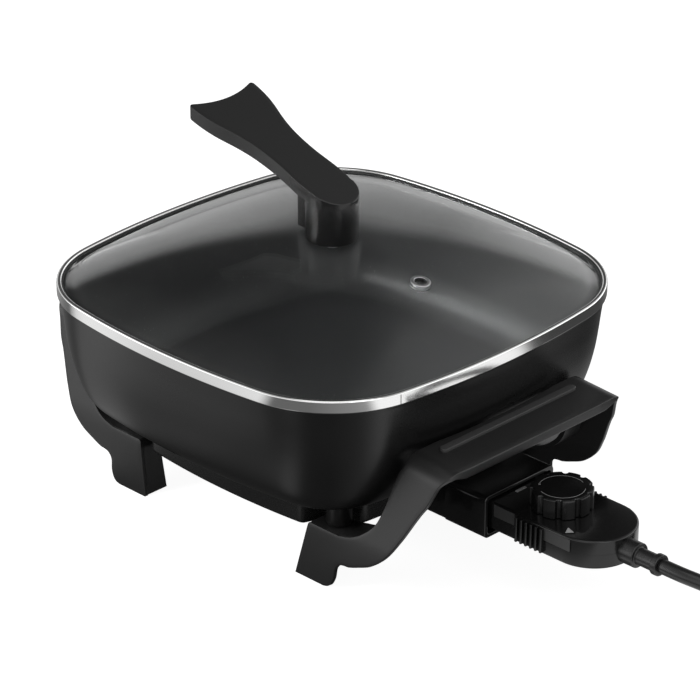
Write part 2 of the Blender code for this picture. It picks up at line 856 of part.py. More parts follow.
def make_terminals(base, looks):
    for side, name in ((-1, "front"), (1, "rear")):
        place = (element_lead_x + gap, side * pin_y, plug_axis_height)
        nose = pin_length - pin_radius / 2
        profile = ((0.0, pin_radius), (nose, pin_radius), (pin_length, pin_radius / 2))
        turned("terminal_pin_" + name, profile, place, "x", looks["steel"], base, count=bore_steps)
    end = socket_back_x - sensor_tube_start
    outer, inner = sensor_tube_radius, sensor_tube_radius - sensor_tube_wall
    profile = ((0.0, outer), (end, outer), (end, inner), (sensor_tube_wall, inner))
    turned(
        "sensor_receptacle", profile, (sensor_tube_start, 0.0, plug_axis_height), "x", looks["steel"], base,
        count=bore_steps,
    )


def rounded_box_ring(x, half, low, high, corner, steps=3):
    ring = []
    for sy, sz, start in ((1, 1, 0.0), (-1, 1, 0.5), (-1, -1, 1.0), (1, -1, 1.5)):
        cy = sy * (half - corner)
        cz = high - corner if sz > 0 else low + corner
        for i in range(steps + 1):
            a = math.pi * (start + 0.5 * i / steps)
            ring.append((x, cy + corner * math.cos(a), cz + corner * math.sin(a)))
    return ring


def make_socket(base, look):
    wall, low = socket_wall, socket_bottom
    neck_half = socket_half - socket_neck_inset
    neck_low = low + socket_neck_inset
    start = cover_half + gap
    neck_top = pan_underside - gap
    inner_corner = socket_corner - wall / 2
    rings = [
        rounded_box_ring(start, neck_half, neck_low, neck_top, socket_corner),
        rounded_box_ring(socket_step_x, neck_half, neck_low, neck_top, socket_corner),
        rounded_box_ring(socket_step_x, socket_half, low, socket_top, socket_corner),
        rounded_box_ring(socket_mouth_x, socket_half, low, socket_top, socket_corner),
        rounded_box_ring(socket_mouth_x, socket_half - wall, low + wall, socket_top - wall, inner_corner),
        rounded_box_ring(socket_back_x, socket_half - wall, low + wall, socket_top - wall, inner_corner),
    ]
    socket = loft("socket_housing", rings, look, base)
    reach = socket_back_x - start + overrun
    bores = [
        ((start, y, plug_axis_height), "x", -overrun, reach, pin_radius + gap) for y in (-pin_y, pin_y)
    ]
    bores.append(((start, 0.0, plug_axis_height), "x", -overrun, reach, sensor_tube_radius + gap))
    bores += [
        ((socket_screw_x, y, low), "z", -overrun, neck_top - low + overrun, small_screw_radius + gap)
        for y in (-socket_screw_y, socket_screw_y)
    ]
    combine(socket, joined_cylinders("socket_bores", bores, base), "DIFFERENCE")
    return socket


# The handle legs


def leg_path():
    """The legs' outer face seen from the side, from the front foot over the shelf to the rear foot."""
    corners = [
        Vector((-foot_y, 0.0)), Vector((-knee_y, foot_top_height)), Vector((-shelf_half, shelf_height)),
    ]
    corners += [Vector((-p.x, p.y)) for p in reversed(corners)]
    radii = (knee_radius, bend_radius, bend_radius, knee_radius)
    steps = (4, 6, 6, 4)
    path = [corners[0]]
    for i in range(1, len(corners) - 1):
        a, b, c = corners[i - 1], corners[i], corners[i + 1]
        u, v = (a - b).normalized(), (c - b).normalized()
        half = math.acos(max(-1.0, min(1.0, u.dot(v)))) / 2
        cut = radii[i - 1] / math.tan(half)
        centre = b + (u + v).normalized() * (radii[i - 1] / math.sin(half))
        first, last = b + u * cut - centre, b + v * cut - centre
        turn = first.angle_signed(last)
        for k in range(steps[i - 1] + 1):
            arc = first.copy()
            arc.rotate(Matrix.Rotation(-turn * k / steps[i - 1], 2))
            path.append(centre + arc)
    path.append(corners[-1])
    return path


class LegSurface:
    """Distance along the leg path to a place and a direction, and the other way for a height."""

    def __init__(self):
        self.path = leg_path()
        self.runs = [0.0]
        for p, q in zip(self.path, self.path[1:]):
            self.runs.append(self.runs[-1] + (q - p).length)
        self.length = self.runs[-1]
        front = [(p.y, s) for p, s in zip(self.path, self.runs) if p.x < -shelf_half + bend_radius]
        self.rise = [front[0]]
        for height, run in front[1:]:
            if height > self.rise[-1][0] + hair:
                self.rise.append((height, run))

    def run_at(self, height):
        return between(height, self.rise)

    def frame(self, run):
        run = min(max(run, 0.0), self.length)
        k = 0
        while k < len(self.runs) - 2 and self.runs[k + 1] < run:
            k += 1
        along = (self.path[k + 1] - self.path[k]).normalized()
        place = self.path[k] + along * (run - self.runs[k])
        before = (self.path[k] - self.path[k - 1]).normalized() if k > 0 else along
        near = self.runs[k + 1] - self.runs[k]
        share = (run - self.runs[k]) / near
        after = along
        if k + 2 < len(self.path):
            after = (self.path[k + 2] - self.path[k + 1]).normalized()
        blend = (before + along) * (1 - share) + (along + after) * share
        blend.normalize()
        return place, Vector((blend.y, -blend.x))

    def shelf_share(self, run):
        """1 along the middle of the shelf, easing to 0 at its bends."""
        middle = min(run, self.length - run) - self.run_at(shelf_height - hair)
        t = min(max(middle / shelf_ease, 0.0), 1.0)
        return t * t * (3 - 2 * t)

    def point(self, x, run, depth):
        place, inward = self.frame(run)
        place = place + inward * depth
        high = shelf_lift * self.shelf_share(run) * (shelf_reach - x) / (shelf_reach - shelf_inner_x(0.0))
        return (x, place.x, max(place.y + high, 0.0))


def shelf_inner_x(y):
    """Inner edge of the shelf, just clear of the barrel-sided pan wall."""
    inset = pan_outer_inset(shelf_height + shelf_lift + grip_rib_height)
    side = rim_side_radius - inset
    return math.sqrt(side * side - y * y) - (rim_side_radius - rim_half) + shelf_pan_clearance


def leg_inner_points():
    rise = shelf_height - foot_top_height
    return [(shelf_reach - inset * mm, foot_top_height + share * rise) for inset, share in leg_inner_outline]


def leg_outline(surface):
    """The flattened outline of one handle leg as (x, run) points, front foot to rear foot and back."""
    inner = [(foot_inner_x, 0.0), (foot_top_x, surface.run_at(foot_top_height))]
    inner += [(x, surface.run_at(z)) for x, z in leg_inner_points()]
    top = surface.run_at(shelf_height - hair)
    middle = surface.length / 2
    for i in range(1, shelf_rows):
        run = top + (middle - top) * i / shelf_rows
        y = surface.frame(run)[0].x
        inner.append((shelf_inner_x(y), run))
    outer = [
        Vector((shelf_reach - inset * mm, surface.run_at(share * shelf_height)))
        for inset, share in leg_outer_outline
    ]
    outer.append(Vector((shelf_reach, top + bend_radius)))
    outer = [(p.x, p.y) for p in rounded_through(outer, 2)]
    mirrored = [(x, surface.length - run) for x, run in reversed(inner)]
    back = [(x, surface.length - run) for x, run in outer]
    return inner + mirrored + back + list(reversed(outer))


def bent_sheet(name, outline, rows, surface, low, high, look, parent):
    """A flat outline cut into rows, bent over the leg surface and given its thickness."""
    work = bmesh.new()
    corners = [work.verts.new((x, run, 0.0)) for x, run in outline]
    work.faces.new(corners)
    for run in rows:
        everything = work.verts[:] + work.edges[:] + work.faces[:]
        bmesh.ops.bisect_plane(
            work, geom=everything, dist=hair, plane_co=(0.0, run, 0.0), plane_no=(0.0, 1.0, 0.0),
        )
    bmesh.ops.triangulate(work, faces=work.faces[:])
    work.verts.index_update()
    flat = [v.co.copy() for v in work.verts]
    count = len(flat)
    points = [surface.point(p.x, p.y, low) for p in flat] + [surface.point(p.x, p.y, high) for p in flat]
    faces = []
    for face in work.faces:
        loop = [v.index for v in face.verts]
        faces.append(tuple(loop))
        faces.append(tuple(i + count for i in reversed(loop)))
    for edge in work.edges:
        if len(edge.link_faces) == 1:
            a, b = (v.index for v in edge.verts)
            faces.append((a, b, b + count, a + count))
    work.free()
    return solid(name, points, faces, look, parent)


def sheet_rows(surface):
    rows = list(surface.runs[1:-1])
    knee = surface.run_at(shelf_height - hair)
    for i in range(1, leg_rows):
        rows += [knee * i / leg_rows, surface.length - knee * i / leg_rows]
    shelf = surface.length - 2 * knee
    rows += [knee + shelf * i / shelf_rows for i in range(1, shelf_rows)]
    return rows


def flange_prism(name, surface, side, parent):
    """The wall that stands in from a leg's inner edge: down the foot, over it and up the arch."""
    edge = [(foot_inner_x, 0.0), (foot_top_x, foot_top_height)]
    edge += leg_inner_points()
    points, faces = [], []
    for i, share in enumerate(flange_depth_shares):
        here, a, b = (Vector(edge[k]) for k in (i, max(i - 1, 0), min(i + 1, len(edge) - 1)))
        u = (here - a if i > 0 else b - here).normalized()
        v = (b - here if i < len(edge) - 1 else u).normalized()
        normal = Vector((u.y + v.y, -u.x - v.x)).normalized()
        stretch = 1 / max(normal.dot(Vector((u.y, -u.x))), 0.5)
        for depth in (flange_setback, flange_setback + flange_thickness):
            p = here + normal * (depth * stretch)
            height = max(p.y, gap) if i > 0 else gap
            face = -surface.frame(surface.run_at(height))[0].x
            points.append((p.x, side * (face - flange_bite), height))
            points.append((p.x, side * (face - share * flange_depth), height))
    for i in range(len(edge) - 1):
        a, b = 4 * i, 4 * i + 4
        for j, k in ((0, 1), (1, 3), (3, 2), (2, 0)):
            faces.append((a + j, a + k, b + k, b + j))
    faces.append((0, 1, 3, 2))
    faces.append(tuple(4 * (len(edge) - 1) + j for j in (0, 1, 3, 2)))
    return guide(solid(name, points, faces, None, parent))


def mirror_in_x(made):
    """Turns a piece modelled at +X into its twin at -X, with its faces still pointing out."""
    work = bmesh.new()
    work.from_mesh(made.data)
    for v in work.verts:
        v.co.x = -v.co.x
    bmesh.ops.reverse_faces(work, faces=work.faces)
    work.to_mesh(made.data)
    work.free()


def make_handle_leg(name, base, look, mirrored):
    surface = LegSurface()
    leg = bent_sheet(
        name, leg_outline(surface), sheet_rows(surface), surface, 0.0, shelf_thickness, look, base
    )
    y = grip_rib_half
    middle = surface.length / 2
    low_x, high_x = grip_rib_x - grip_rib_width / 2, grip_rib_x + grip_rib_width / 2
    strip = [(low_x, middle - y), (high_x, middle - y), (high_x, middle + y), (low_x, middle + y)]
    rows = [middle + y * i / shelf_rows for i in range(1 - shelf_rows, shelf_rows)]
    rib = guide(bent_sheet(
        name + "_rib", strip, rows, surface, -grip_rib_height, shelf_thickness / 2, None, base
    ))
    tools = [(rib, "UNION")]
    for side in (-1, 1):
        tools.append((flange_prism(name + "_flange", surface, side, base), "UNION"))
    holes = [
        ((boss_x, y, foot_top_height), "z", -overrun, overrun, leg_screw_radius + gap)
        for y in (-boss_y, boss_y)
    ]
    tools.append((joined_cylinders(name + "_holes", holes, base), "DIFFERENCE"))
    for tool, operation in tools:
        if mirrored:
            mirror_in_x(tool)
        combine(leg, tool, operation)
    if mirrored:
        mirror_in_x(leg)
    return leg


def make_base_screws(base, look):
    seat = foot_top_height - flange_thickness - gap
    for i, (x, y) in enumerate(corner_places(boss_x, boss_y)):
        screw(
            "leg_screw_%d" % (i + 1), (x, y, seat), flange_thickness + 2 * gap + leg_screw_bite,
            leg_screw_radius, leg_screw_head_radius, leg_screw_head_height, look, base,
        )
    seat = cover_bottom - gap
    for i, y in enumerate((-post_y, post_y)):
        screw(
            "cover_screw_%d" % (i + 1), (0.0, y, seat), cover_wall + 2 * gap + small_screw_bite,
            small_screw_radius, small_screw_head_radius, small_screw_head_height, look, base,
        )
    seat = socket_bottom + socket_neck_inset - gap
    for i, y in enumerate((-socket_screw_y, socket_screw_y)):
        screw(
            "socket_screw_%d" % (i + 1), (socket_screw_x, y, seat), pan_underside + pan_screw_bite - seat,
            small_screw_radius, small_screw_head_radius, small_screw_head_height, look, base,
        )


# The heat control


def control_outline(inset):
    """Plan of the heat control: square neck with small corners, wider body, half-round end."""
    neck = control_half - control_neck_inset - inset
    half = control_half - inset
    front = control_front_x + inset
    corner = control_corner - inset
    outline = []
    for i in range(3):
        a = math.pi / 2 * i / 2
        outline.append((front + corner - corner * math.sin(a), corner - neck - corner * math.cos(a)))
    outline = [(x, -y) for x, y in outline]
    lower = [(x, -y) for x, y in reversed(outline)]
    step_x = control_step_x + inset
    body = [(step_x, -neck), (step_x, -half)]
    end = []
    steps = round_steps // 2
    for i in range(steps + 1):
        a = math.pi * (i / steps - 0.5)
        end.append((control_round_x + half * math.cos(a), half * math.sin(a)))
    upper = [(step_x, half), (step_x, neck)]
    return lower + body + end + upper + outline


def shell(name, top, look, control, raised):
    """One half of the heat control's body, open at the parting plane."""
    outer, inner = control_outline(0.0), control_outline(control_wall)
    soft = control_outline(control_edge_radius)
    sign = 1.0 if raised else -1.0
    start = parting + sign * gap / 2
    rings = [
        at_height(inner, top - sign * control_wall), at_height(inner, start), at_height(outer, start),
        at_height(outer, top - sign * control_edge_radius), at_height(soft, top),
    ]
    made = loft(name, rings, look, control)
    low, high = (start, top - control_edge_radius) if raised else (top + control_edge_radius, start)
    ribs = []
    for i in range(grip_count):
        x = grip_start_x + i * grip_pitch
        for side in (-1, 1):
            near, far = side * (control_half - control_wall / 2), side * (control_half + grip_proud)
            ribs.append(((x, min(near, far), low), (x + grip_width, max(near, far), high)))
    combine(made, joined_boxes(name + "_ribs", ribs, control), "UNION")
    return made


def make_control_shells(control, look):
    upper = shell("control_upper_shell", control_top, look, control, True)
    lower = shell("control_lower_shell", control_bottom, look, control, False)
    floor = control_bottom + control_wall + gap
    posts = [
        ((control_post_x, y, 0.0), "z", floor, control_top - control_wall / 2, control_post_radius)
        for y in (-control_post_y, control_post_y)
    ]
    combine(upper, joined_cylinders("control_posts", posts, control), "UNION")
    front = control_front_x
    bores = [
        ((front, y, parting), "x", -overrun, overrun - control_wall, pin_radius + 2 * gap)
        for y in (-pin_y, pin_y)
    ]
    bores.append(((front, 0.0, parting), "x", -overrun, overrun, sensor_rod_radius + gap))
    bores.append((
        (control_end_x, 0.0, cord_height), "x", relief_start_x - control_end_x - gap, overrun,
        relief_collar_radius + gap,
    ))
    combine(upper, joined_cylinders("upper_bores", bores, control), "DIFFERENCE")
    combine(lower, joined_cylinders("lower_bores", bores, control), "DIFFERENCE")
    screws = [
        ((control_post_x, y, floor), "z", -overrun, small_screw_bite + gap, small_screw_radius + gap)
        for y in (-control_post_y, control_post_y)
    ]
    combine(upper, joined_cylinders("upper_screw_holes", screws, control), "DIFFERENCE")
    combine(lower, joined_cylinders("lower_screw_holes", screws, control), "DIFFERENCE")
    shaft = [((dial_x, 0.0, control_top), "z", -overrun, overrun, shaft_radius + gap)]
    combine(upper, joined_cylinders("shaft_hole", shaft, control), "DIFFERENCE")
    half_w, half_l = lens_width / 2 + gap, lens_length / 2 + gap
    slot = joined_boxes("lens_slot", [(
        (lens_x - half_w, lens_y - half_l, control_top - overrun),
        (lens_x + half_w, lens_y + half_l, control_top + overrun),
    )], control)
    combine(upper, slot, "DIFFERENCE")


def make_control_insides(control, looks):
    floor = control_bottom + control_wall + gap
    unit = box(
        "thermostat_unit", (thermostat_front_x, -thermostat_half, floor),
        (thermostat_front_x + thermostat_length, thermostat_half, floor + thermostat_height),
        looks["ceramic"], control,
    )
    high = thermostat_height + overrun
    shaft = [((dial_x, 0.0, floor), "z", thermostat_height / 2, high, shaft_radius + gap)]
    combine(unit, joined_cylinders("shaft_socket", shaft, control), "DIFFERENCE")
    for side, name in ((-1, "front"), (1, "rear")):
        inner = pin_radius + gap
        outer = inner + sleeve_wall
        length = thermostat_front_x - gap - sleeve_start_x
        profile = ((0.0, inner), (0.0, outer), (length, outer), (length, inner))
        turned(
            "contact_sleeve_" + name, profile, (sleeve_start_x, side * pin_y, parting), "x", looks["brass"],
            control, count=bore_steps, closed=True,
        )
    length = thermostat_front_x - gap - sensor_rod_tip_x
    nose = sensor_rod_radius
    profile = ((0.0, nose / 2), (nose / 2, nose), (length, nose))
    turned(
        "sensor_rod", profile, (sensor_rod_tip_x, 0.0, parting), "x", looks["steel"], control,
        count=bore_steps,
    )
    top = control_top + lens_proud
    box(
        "indicator_lens", (lens_x - lens_width / 2, lens_y - lens_length / 2, top - lens_depth),
        (lens_x + lens_width / 2, lens_y + lens_length / 2, top), looks["lens"], control,
    )
    half = lens_length / 2
    lamp = ((-half, lamp_radius), (half, lamp_radius))
    turned(
        "indicator_lamp", lamp, (lens_x, lens_y, top - lens_depth - gap - lamp_radius), "y", looks["lamp"],
        control, count=bore_steps,
    )
    for i, y in enumerate((-control_post_y, control_post_y)):
        screw(
            "control_screw_%d" % (i + 1), (control_post_x, y, control_bottom - gap),
            control_wall + 2 * gap + small_screw_bite, small_screw_radius, small_screw_head_radius,
            small_screw_head_height, looks["steel"], control,
        )


def make_dial(dial, looks):
    low = control_top + gap
    axis = (dial_x, 0.0, 0.0)
    edge = dial_edge_radius
    profile = (
        (low, dial_radius), (dial_top - edge, dial_radius), (dial_top, dial_radius - edge),
    )
    knob = turned("dial", profile, axis, "z", looks["control"], dial, count=dial_steps, origin=axis)
    grooves = []
    for i in range(dial_groove_count):
        a = 2 * math.pi * (i + 0.5) / dial_groove_count
        place = (dial_x + dial_radius * math.cos(a), dial_radius * math.sin(a), 0.0)
        grooves.append((place, "z", low - overrun, dial_top - dial_groove_top_skin, dial_groove_radius))
    combine(knob, joined_cylinders("dial_grooves", grooves, dial, dial_groove_steps), "DIFFERENCE")
    bore = [((dial_x, 0.0, low), "z", -overrun, shaft_entry + gap, shaft_radius + gap)]
    combine(knob, joined_cylinders("dial_bore", bore, dial), "DIFFERENCE")
    foot = control_bottom + control_wall + gap + thermostat_height / 2 + gap
    profile = ((foot, shaft_radius), (low + shaft_entry, shaft_radius))
    turned("dial_shaft", profile, axis, "z", looks["steel"], dial, count=bore_steps, origin=axis)


# The cord


def coil_path():
    """Spirals in on the floor, climbs a layer where it turns back, and spirals out on top of itself."""
    turns = coil_turns_in + coil_turns_climb + coil_turns_out
    reverse = coil_turns_in + coil_turns_climb / 2
    points = []
    count = round(turns * coil_points_per_turn)
    for i in range(count + 1):
        t = turns * i / count
        radius = coil_start_radius - coil_pitch * (reverse - abs(t - reverse))
        climb = min(max((t - coil_turns_in) / coil_turns_climb, 0.0), 1.0)
        climb = climb * climb * (3 - 2 * climb)
        a = 2 * math.pi * t
        points.append(Vector((
            coil_centre_x + radius * math.cos(a), coil_centre_y + radius * math.sin(a),
            floor_tie + cord_radius + climb * coil_layer,
        )))
    return points


def least_gap(points, radius):
    """Smallest distance between stretches of the tube that lie more than a quarter turn apart."""
    apart = coil_points_per_turn // 4
    best = min(
        (p - q).length for i, p in enumerate(points) for q in points[i + apart:]
    )
    return best - 2 * radius


def make_cord(control, looks):
    c, s, r = relief_collar_radius, relief_sleeve_radius, relief_ring_radius
    soft = (c - s) / 4
    profile = (
        (relief_start_x, c), (relief_collar_end_x - soft, c), (relief_collar_end_x, c - soft),
        (relief_collar_end_x, s), (relief_ring_x, s), (relief_ring_x, r), (relief_end_x - soft, r),
        (relief_end_x, r - soft),
    )
    turned("strain_relief", profile, (0.0, 0.0, cord_height), "x", looks["rubber"], control)
    coil = coil_path()
    start_along = (coil[1] - coil[0]).normalized()
    route = [Vector((x * mm + relief_end_x, y * mm, share * cord_height)) for x, y, share in cord_route]
    route[0] = Vector((relief_end_x + gap, 0.0, cord_height))
    route.append(coil[0] - start_along * (4 * cord_radius))
    route.append(coil[0] - start_along * gap)
    free = smooth_path(route, cord_steps)
    tube("cord", free, cord_radius, 2, looks["rubber"], control)
    end_along = (coil[-1] - coil[-2]).normalized()
    flat = Vector((end_along.x, end_along.y, 0.0)).normalized()
    plug_start = coil[-1] + flat * plug_lead
    plug_start.z = plug_face_radius
    lead = [coil[-1] + (plug_start - coil[-1]) * (k / 5) for k in range(6)]
    for k, p in enumerate(lead):
        t = k / 5
        p.z = coil[-1].z + (plug_start.z - coil[-1].z) * t * t * (3 - 2 * t)
    wound = coil + lead[1:]
    tube("cord_coil", wound, cord_radius, 1, looks["rubber"], control)
    print("cord free %.4f m, coil %.4f m" % (path_length(free), path_length(wound)))
    print("least gap in the coil %.2f mm" % (least_gap(wound, cord_radius) / mm))
    make_plug(plug_start, flat, control, looks)
    make_tie(control, looks["tie"])


def make_plug(start, along, control, looks):
    place = start + along * gap
    length = plug_tail_length
    waist, face = length - plug_waist_length, length - plug_face_length
    profile = (
        (0.0, plug_tail_radius), (waist, plug_waist_radius), (face, plug_face_radius),
        (length, plug_face_radius),
    )
    angle = math.atan2(along.y, along.x)
    body = turned("plug_body", profile, (0.0, 0.0, 0.0), "x", looks["rubber"], control)
    body.location = place - skillet_place(control)
    body.rotation_euler = (0.0, 0.0, angle)
    half = plug_pin_spacing / 2
    for side in (-1, 1):
        nose = plug_pin_length - plug_pin_radius / 2
        profile = ((0.0, plug_pin_radius), (nose, plug_pin_radius), (plug_pin_length, plug_pin_radius / 2))
        pin = turned(
            "plug_pin_%d" % (1 if side < 0 else 2), profile, (0.0, 0.0, 0.0), "x", looks["brass"], control,
            count=bore_steps,
        )
        across = Vector((-along.y, along.x, 0.0)) * (side * half)
        pin.location = place + along * (length + gap) + across - skillet_place(control)
        pin.rotation_euler = (0.0, 0.0, angle)


def make_tie(control, look):
    """A strap round both layers of the coil."""
    reach_in = coil_start_radius - coil_pitch * (coil_turns_in + coil_turns_climb / 2)
    low_r = reach_in - cord_radius - gap
    high_r = coil_start_radius + cord_radius + gap
    low_z, high_z = tie_thickness, floor_tie + coil_layer + 2 * cord_radius + gap
    t, half = tie_thickness, tie_width / 2
    outer = ((low_r - t, 0.0), (high_r + t, 0.0), (high_r + t, high_z + t), (low_r - t, high_z + t))
    inner = ((low_r, low_z), (high_r, low_z), (high_r, high_z), (low_r, high_z))
    rings = []
    for side, loop in ((-half, outer), (half, outer), (half, inner), (-half, inner)):
        rings.append([(r, side, z) for r, z in loop])
    tie = loft("cord_tie", rings, look, control, closed=True)
    tie.location = Vector((coil_centre_x, coil_centre_y, 0.0)) - skillet_place(control)
    tie.rotation_euler = (0.0, 0.0, tie_angle)
    return tie


def main():
    for old in list(bpy.data.objects):
        bpy.data.objects.remove(old, do_unlink=True)
    looks = {
        "pan": material("satin_black_cast", (0.024, 0.023, 0.024), 0.42),
        "cover": material("black_cover", (0.018, 0.018, 0.018), 0.5),
        "leg": material("matte_black_phenolic", (0.034, 0.034, 0.034), 0.46),
        "control": material("gloss_black_moulding", (0.014, 0.014, 0.014), 0.25),
        "handle": material("matte_black_handle", (0.028, 0.028, 0.028), 0.55),
        "steel": material("polished_steel", (0.78, 0.78, 0.77), 0.18, 1.0),
        "brass": material("nickel_brass", (0.72, 0.66, 0.52), 0.3, 1.0),
        "glass": material("clear_glass", (0.86, 0.88, 0.88), 0.05),
        "gasket": material("black_gasket", (0.02, 0.02, 0.02), 0.6),
        "silicone": material("black_silicone", (0.025, 0.025, 0.025), 0.65),
        "element": material("element_sheath", (0.32, 0.31, 0.30), 0.4, 1.0),
        "ceramic": material("thermostat_ceramic", (0.78, 0.75, 0.68), 0.7),
        "lens": material("indicator_lens", (0.52, 0.52, 0.50), 0.3),
        "lamp": material("lamp_glass", (0.9, 0.5, 0.3), 0.2),
        "rubber": material("black_cord_rubber", (0.02, 0.02, 0.02), 0.42),
        "tie": material("black_tie", (0.03, 0.03, 0.03), 0.7),
    }
    skillet = empty("skillet", (pan_shift, 0.0, 0.0))
    base = empty("base", (0.0, 0.0, 0.0), skillet)
    lid = empty("lid", (0.0, 0.0, lid_bottom), skillet)
    control = empty("heat_control", (control_front_x, 0.0, parting), skillet)
    dial = empty("dial_axis", (dial_x - control_front_x, 0.0, control_top - parting), control)

    make_pan(base, looks["pan"])
    make_heater_cover(base, looks["cover"])
    make_heating_element(base, looks["element"])
    make_terminals(base, looks)
    make_socket(base, looks["control"])
    make_handle_leg("handle_leg_right", base, looks["leg"], False)
    make_handle_leg("handle_leg_left", base, looks["leg"], True)
    make_base_screws(base, looks["steel"])

    make_lid_band(lid, looks["steel"])
    make_lid_gasket(lid, looks["gasket"])
    make_lid_glass(lid, looks["glass"])
    make_vent(lid, looks["steel"])
    make_lid_handle(lid, looks["handle"])
    make_handle_fixings(lid, looks)

    make_control_shells(control, looks["control"])
    make_control_insides(control, looks)
    make_dial(dial, looks)
    make_cord(control, looks)


main()
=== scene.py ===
import math

import bmesh
import bpy
import numpy as np
from mathutils import Matrix, Vector


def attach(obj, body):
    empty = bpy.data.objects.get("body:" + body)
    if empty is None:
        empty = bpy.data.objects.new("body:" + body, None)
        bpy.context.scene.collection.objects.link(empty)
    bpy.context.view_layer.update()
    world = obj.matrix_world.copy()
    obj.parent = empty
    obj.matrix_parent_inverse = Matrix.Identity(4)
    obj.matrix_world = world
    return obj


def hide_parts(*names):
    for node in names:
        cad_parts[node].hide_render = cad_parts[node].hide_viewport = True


# Electric skillet: cast pan on two handle legs, lift-off glass lid, plug-in heat control with its cord.
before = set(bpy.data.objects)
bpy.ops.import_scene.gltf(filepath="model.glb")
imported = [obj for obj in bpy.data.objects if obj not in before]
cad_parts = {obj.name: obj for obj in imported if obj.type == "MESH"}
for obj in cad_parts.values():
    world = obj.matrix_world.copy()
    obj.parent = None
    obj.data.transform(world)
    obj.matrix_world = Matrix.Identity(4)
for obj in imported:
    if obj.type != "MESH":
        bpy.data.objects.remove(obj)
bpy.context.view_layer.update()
print("frame loaded:", len(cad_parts), "nodes")

mm = 0.001
panAxisX = -36.9 * mm  # the pan's axis in the row frame, where all x below are counted from
creaseAngle = math.radians(34.0)
quarterTurns = ((1, 0), (0, -1), (-1, 0), (0, 1))  # cosine and sine


def millimetres(**sizes):
    # settings given in millimetres
    return {key: np.multiply(value, mm) if isinstance(value, tuple) else value * mm for key, value in sizes.items()}


def addObject(name, data):
    made = bpy.data.objects.new(name, data)
    bpy.context.scene.collection.objects.link(made)
    return made


# camera

camera = {
    "azimuth": 44.61, "elevation": 26.3, "roll": 0.142,  # degrees
    "focal": 3770.0, "centre": (332.1, 276.4), "distance": 15.88 * 0.150,  # pixels of 700, and metres
    "aim": (panAxisX, 0.0, 145.6 * mm), "imageSize": 700, "sensor": 36.0,
}


def makeCamera(c):
    az, el, roll = (math.radians(c[k]) for k in ("azimuth", "elevation", "roll"))
    back = Vector((math.sin(az) * math.cos(el), -math.cos(az) * math.cos(el), math.sin(el)))
    right = Vector((math.cos(az), math.sin(az), 0.0))
    up = back.cross(right)
    r = right * math.cos(roll) + up * math.sin(roll)
    u = up * math.cos(roll) - right * math.sin(roll)
    half, unit = c["imageSize"] / 2, c["distance"] / c["focal"]
    place = back * c["distance"] - r * ((c["centre"][0] - half) * unit) + u * ((c["centre"][1] - half) * unit)
    place += Vector(c["aim"])
    data = bpy.data.cameras.new("camera")
    data.sensor_width = c["sensor"]
    data.lens = c["sensor"] * c["focal"] / c["imageSize"]
    made = addObject("camera", data)
    made.matrix_world = Matrix((
        (r.x, u.x, back.x, place.x), (r.y, u.y, back.y, place.y), (r.z, u.z, back.z, place.z), (0, 0, 0, 1),
    ))
    bpy.context.scene.camera = made


makeCamera(camera)
print("camera placed")


# numpy shapes


def smoothStep(t):
    t = np.clip(t, 0.0, 1.0)
    return t * t * (3 - 2 * t)


def unit(vectors):
    return vectors / np.linalg.norm(vectors, axis=-1, keepdims=True)


def quarter(steps):
    # sines and cosines of evenly spaced angles over a quarter turn
    a = np.linspace(0, math.pi / 2, steps)
    return np.sin(a), np.cos(a)


def columns(*parts):
    # arrays side by side along a new last axis; a single number counts for all rows
    return np.stack(np.broadcast_arrays(*parts), axis=-1)


def sideways(line, closed=False):
    # the direction to the right of a flat line's own way, at each of its points
    ahead = unit(np.roll(line, -1, axis=0) - np.roll(line, 1, axis=0) if closed else np.gradient(line, axis=0))
    return columns(ahead[:, 1], -ahead[:, 0])


def curveThrough(points, steps):
    # Catmull-Rom: each stretch is the cubic whose slope at a point is half the way between its neighbours
    p = np.asarray(points, float)
    ends = np.vstack([2 * p[:1] - p[1:2], p, 2 * p[-1:] - p[-2:-1]])
    a, b, c, d = (q[:, None, :] for q in (ends[:-3], ends[1:-2], ends[2:-1], ends[3:]))
    t = (np.arange(steps) / steps)[None, :, None]
    fine = 0.5 * (2 * b + (c - a) * t + (2 * a - 5 * b + 4 * c - d) * t ** 2 + (3 * b - a - 3 * c + d) * t ** 3)
    return np.vstack([fine.reshape(-1, p.shape[1]), p[-1:]])


def runOf(points):
    # distance along a line of points, from its start
    return np.concatenate([[0.0], np.cumsum(np.linalg.norm(np.diff(points, axis=0), axis=1))])


def evenly(points, count):
    # so many points at even distances along a line of points
    points = np.asarray(points, float)
    run = runOf(points)
    want = np.linspace(0.0, run[-1], count)
    return columns(*(np.interp(want, run, values) for values in points.T))


def roundedLine(corners, radii, steps=8):
    # corners cut by arcs: centre on the bisector at radius / sin(half the angle), quarter steps in between
    p = [np.asarray(c, float) for c in corners]
    out = [p[0]]
    for a, b, c, radius in zip(p, p[1:], p[2:], radii):
        u, v = unit(a - b), unit(c - b)
        half = math.acos(float(np.clip(u @ v, -1, 1))) / 2
        if radius <= 0 or half > math.pi / 2 - 0.01:
            out.append(b)
            continue
        centre = b + unit(u + v) * radius / math.sin(half)
        first = b + u * radius / math.tan(half) - centre
        last = b + v * radius / math.tan(half) - centre
        angle = math.acos(float(np.clip(first @ last / radius ** 2, -1, 1)))
        t = np.linspace(0, 1, steps + 1)[:, None]
        out.extend(centre + (first * np.sin((1 - t) * angle) + last * np.sin(t * angle)) / math.sin(angle))
    out.append(p[-1])
    return np.array(out)


def roundedBox(x0, x1, y0, y1, radii, steps):
    # a closed rectangle with rounded corners, from the middle of its y0 side
    middle = (x0 + x1) / 2
    corners = [(middle, y0), (x0, y0), (x0, y1), (x1, y1), (x1, y0), (middle, y0)]
    return roundedLine(corners, radii, steps)[:-1]


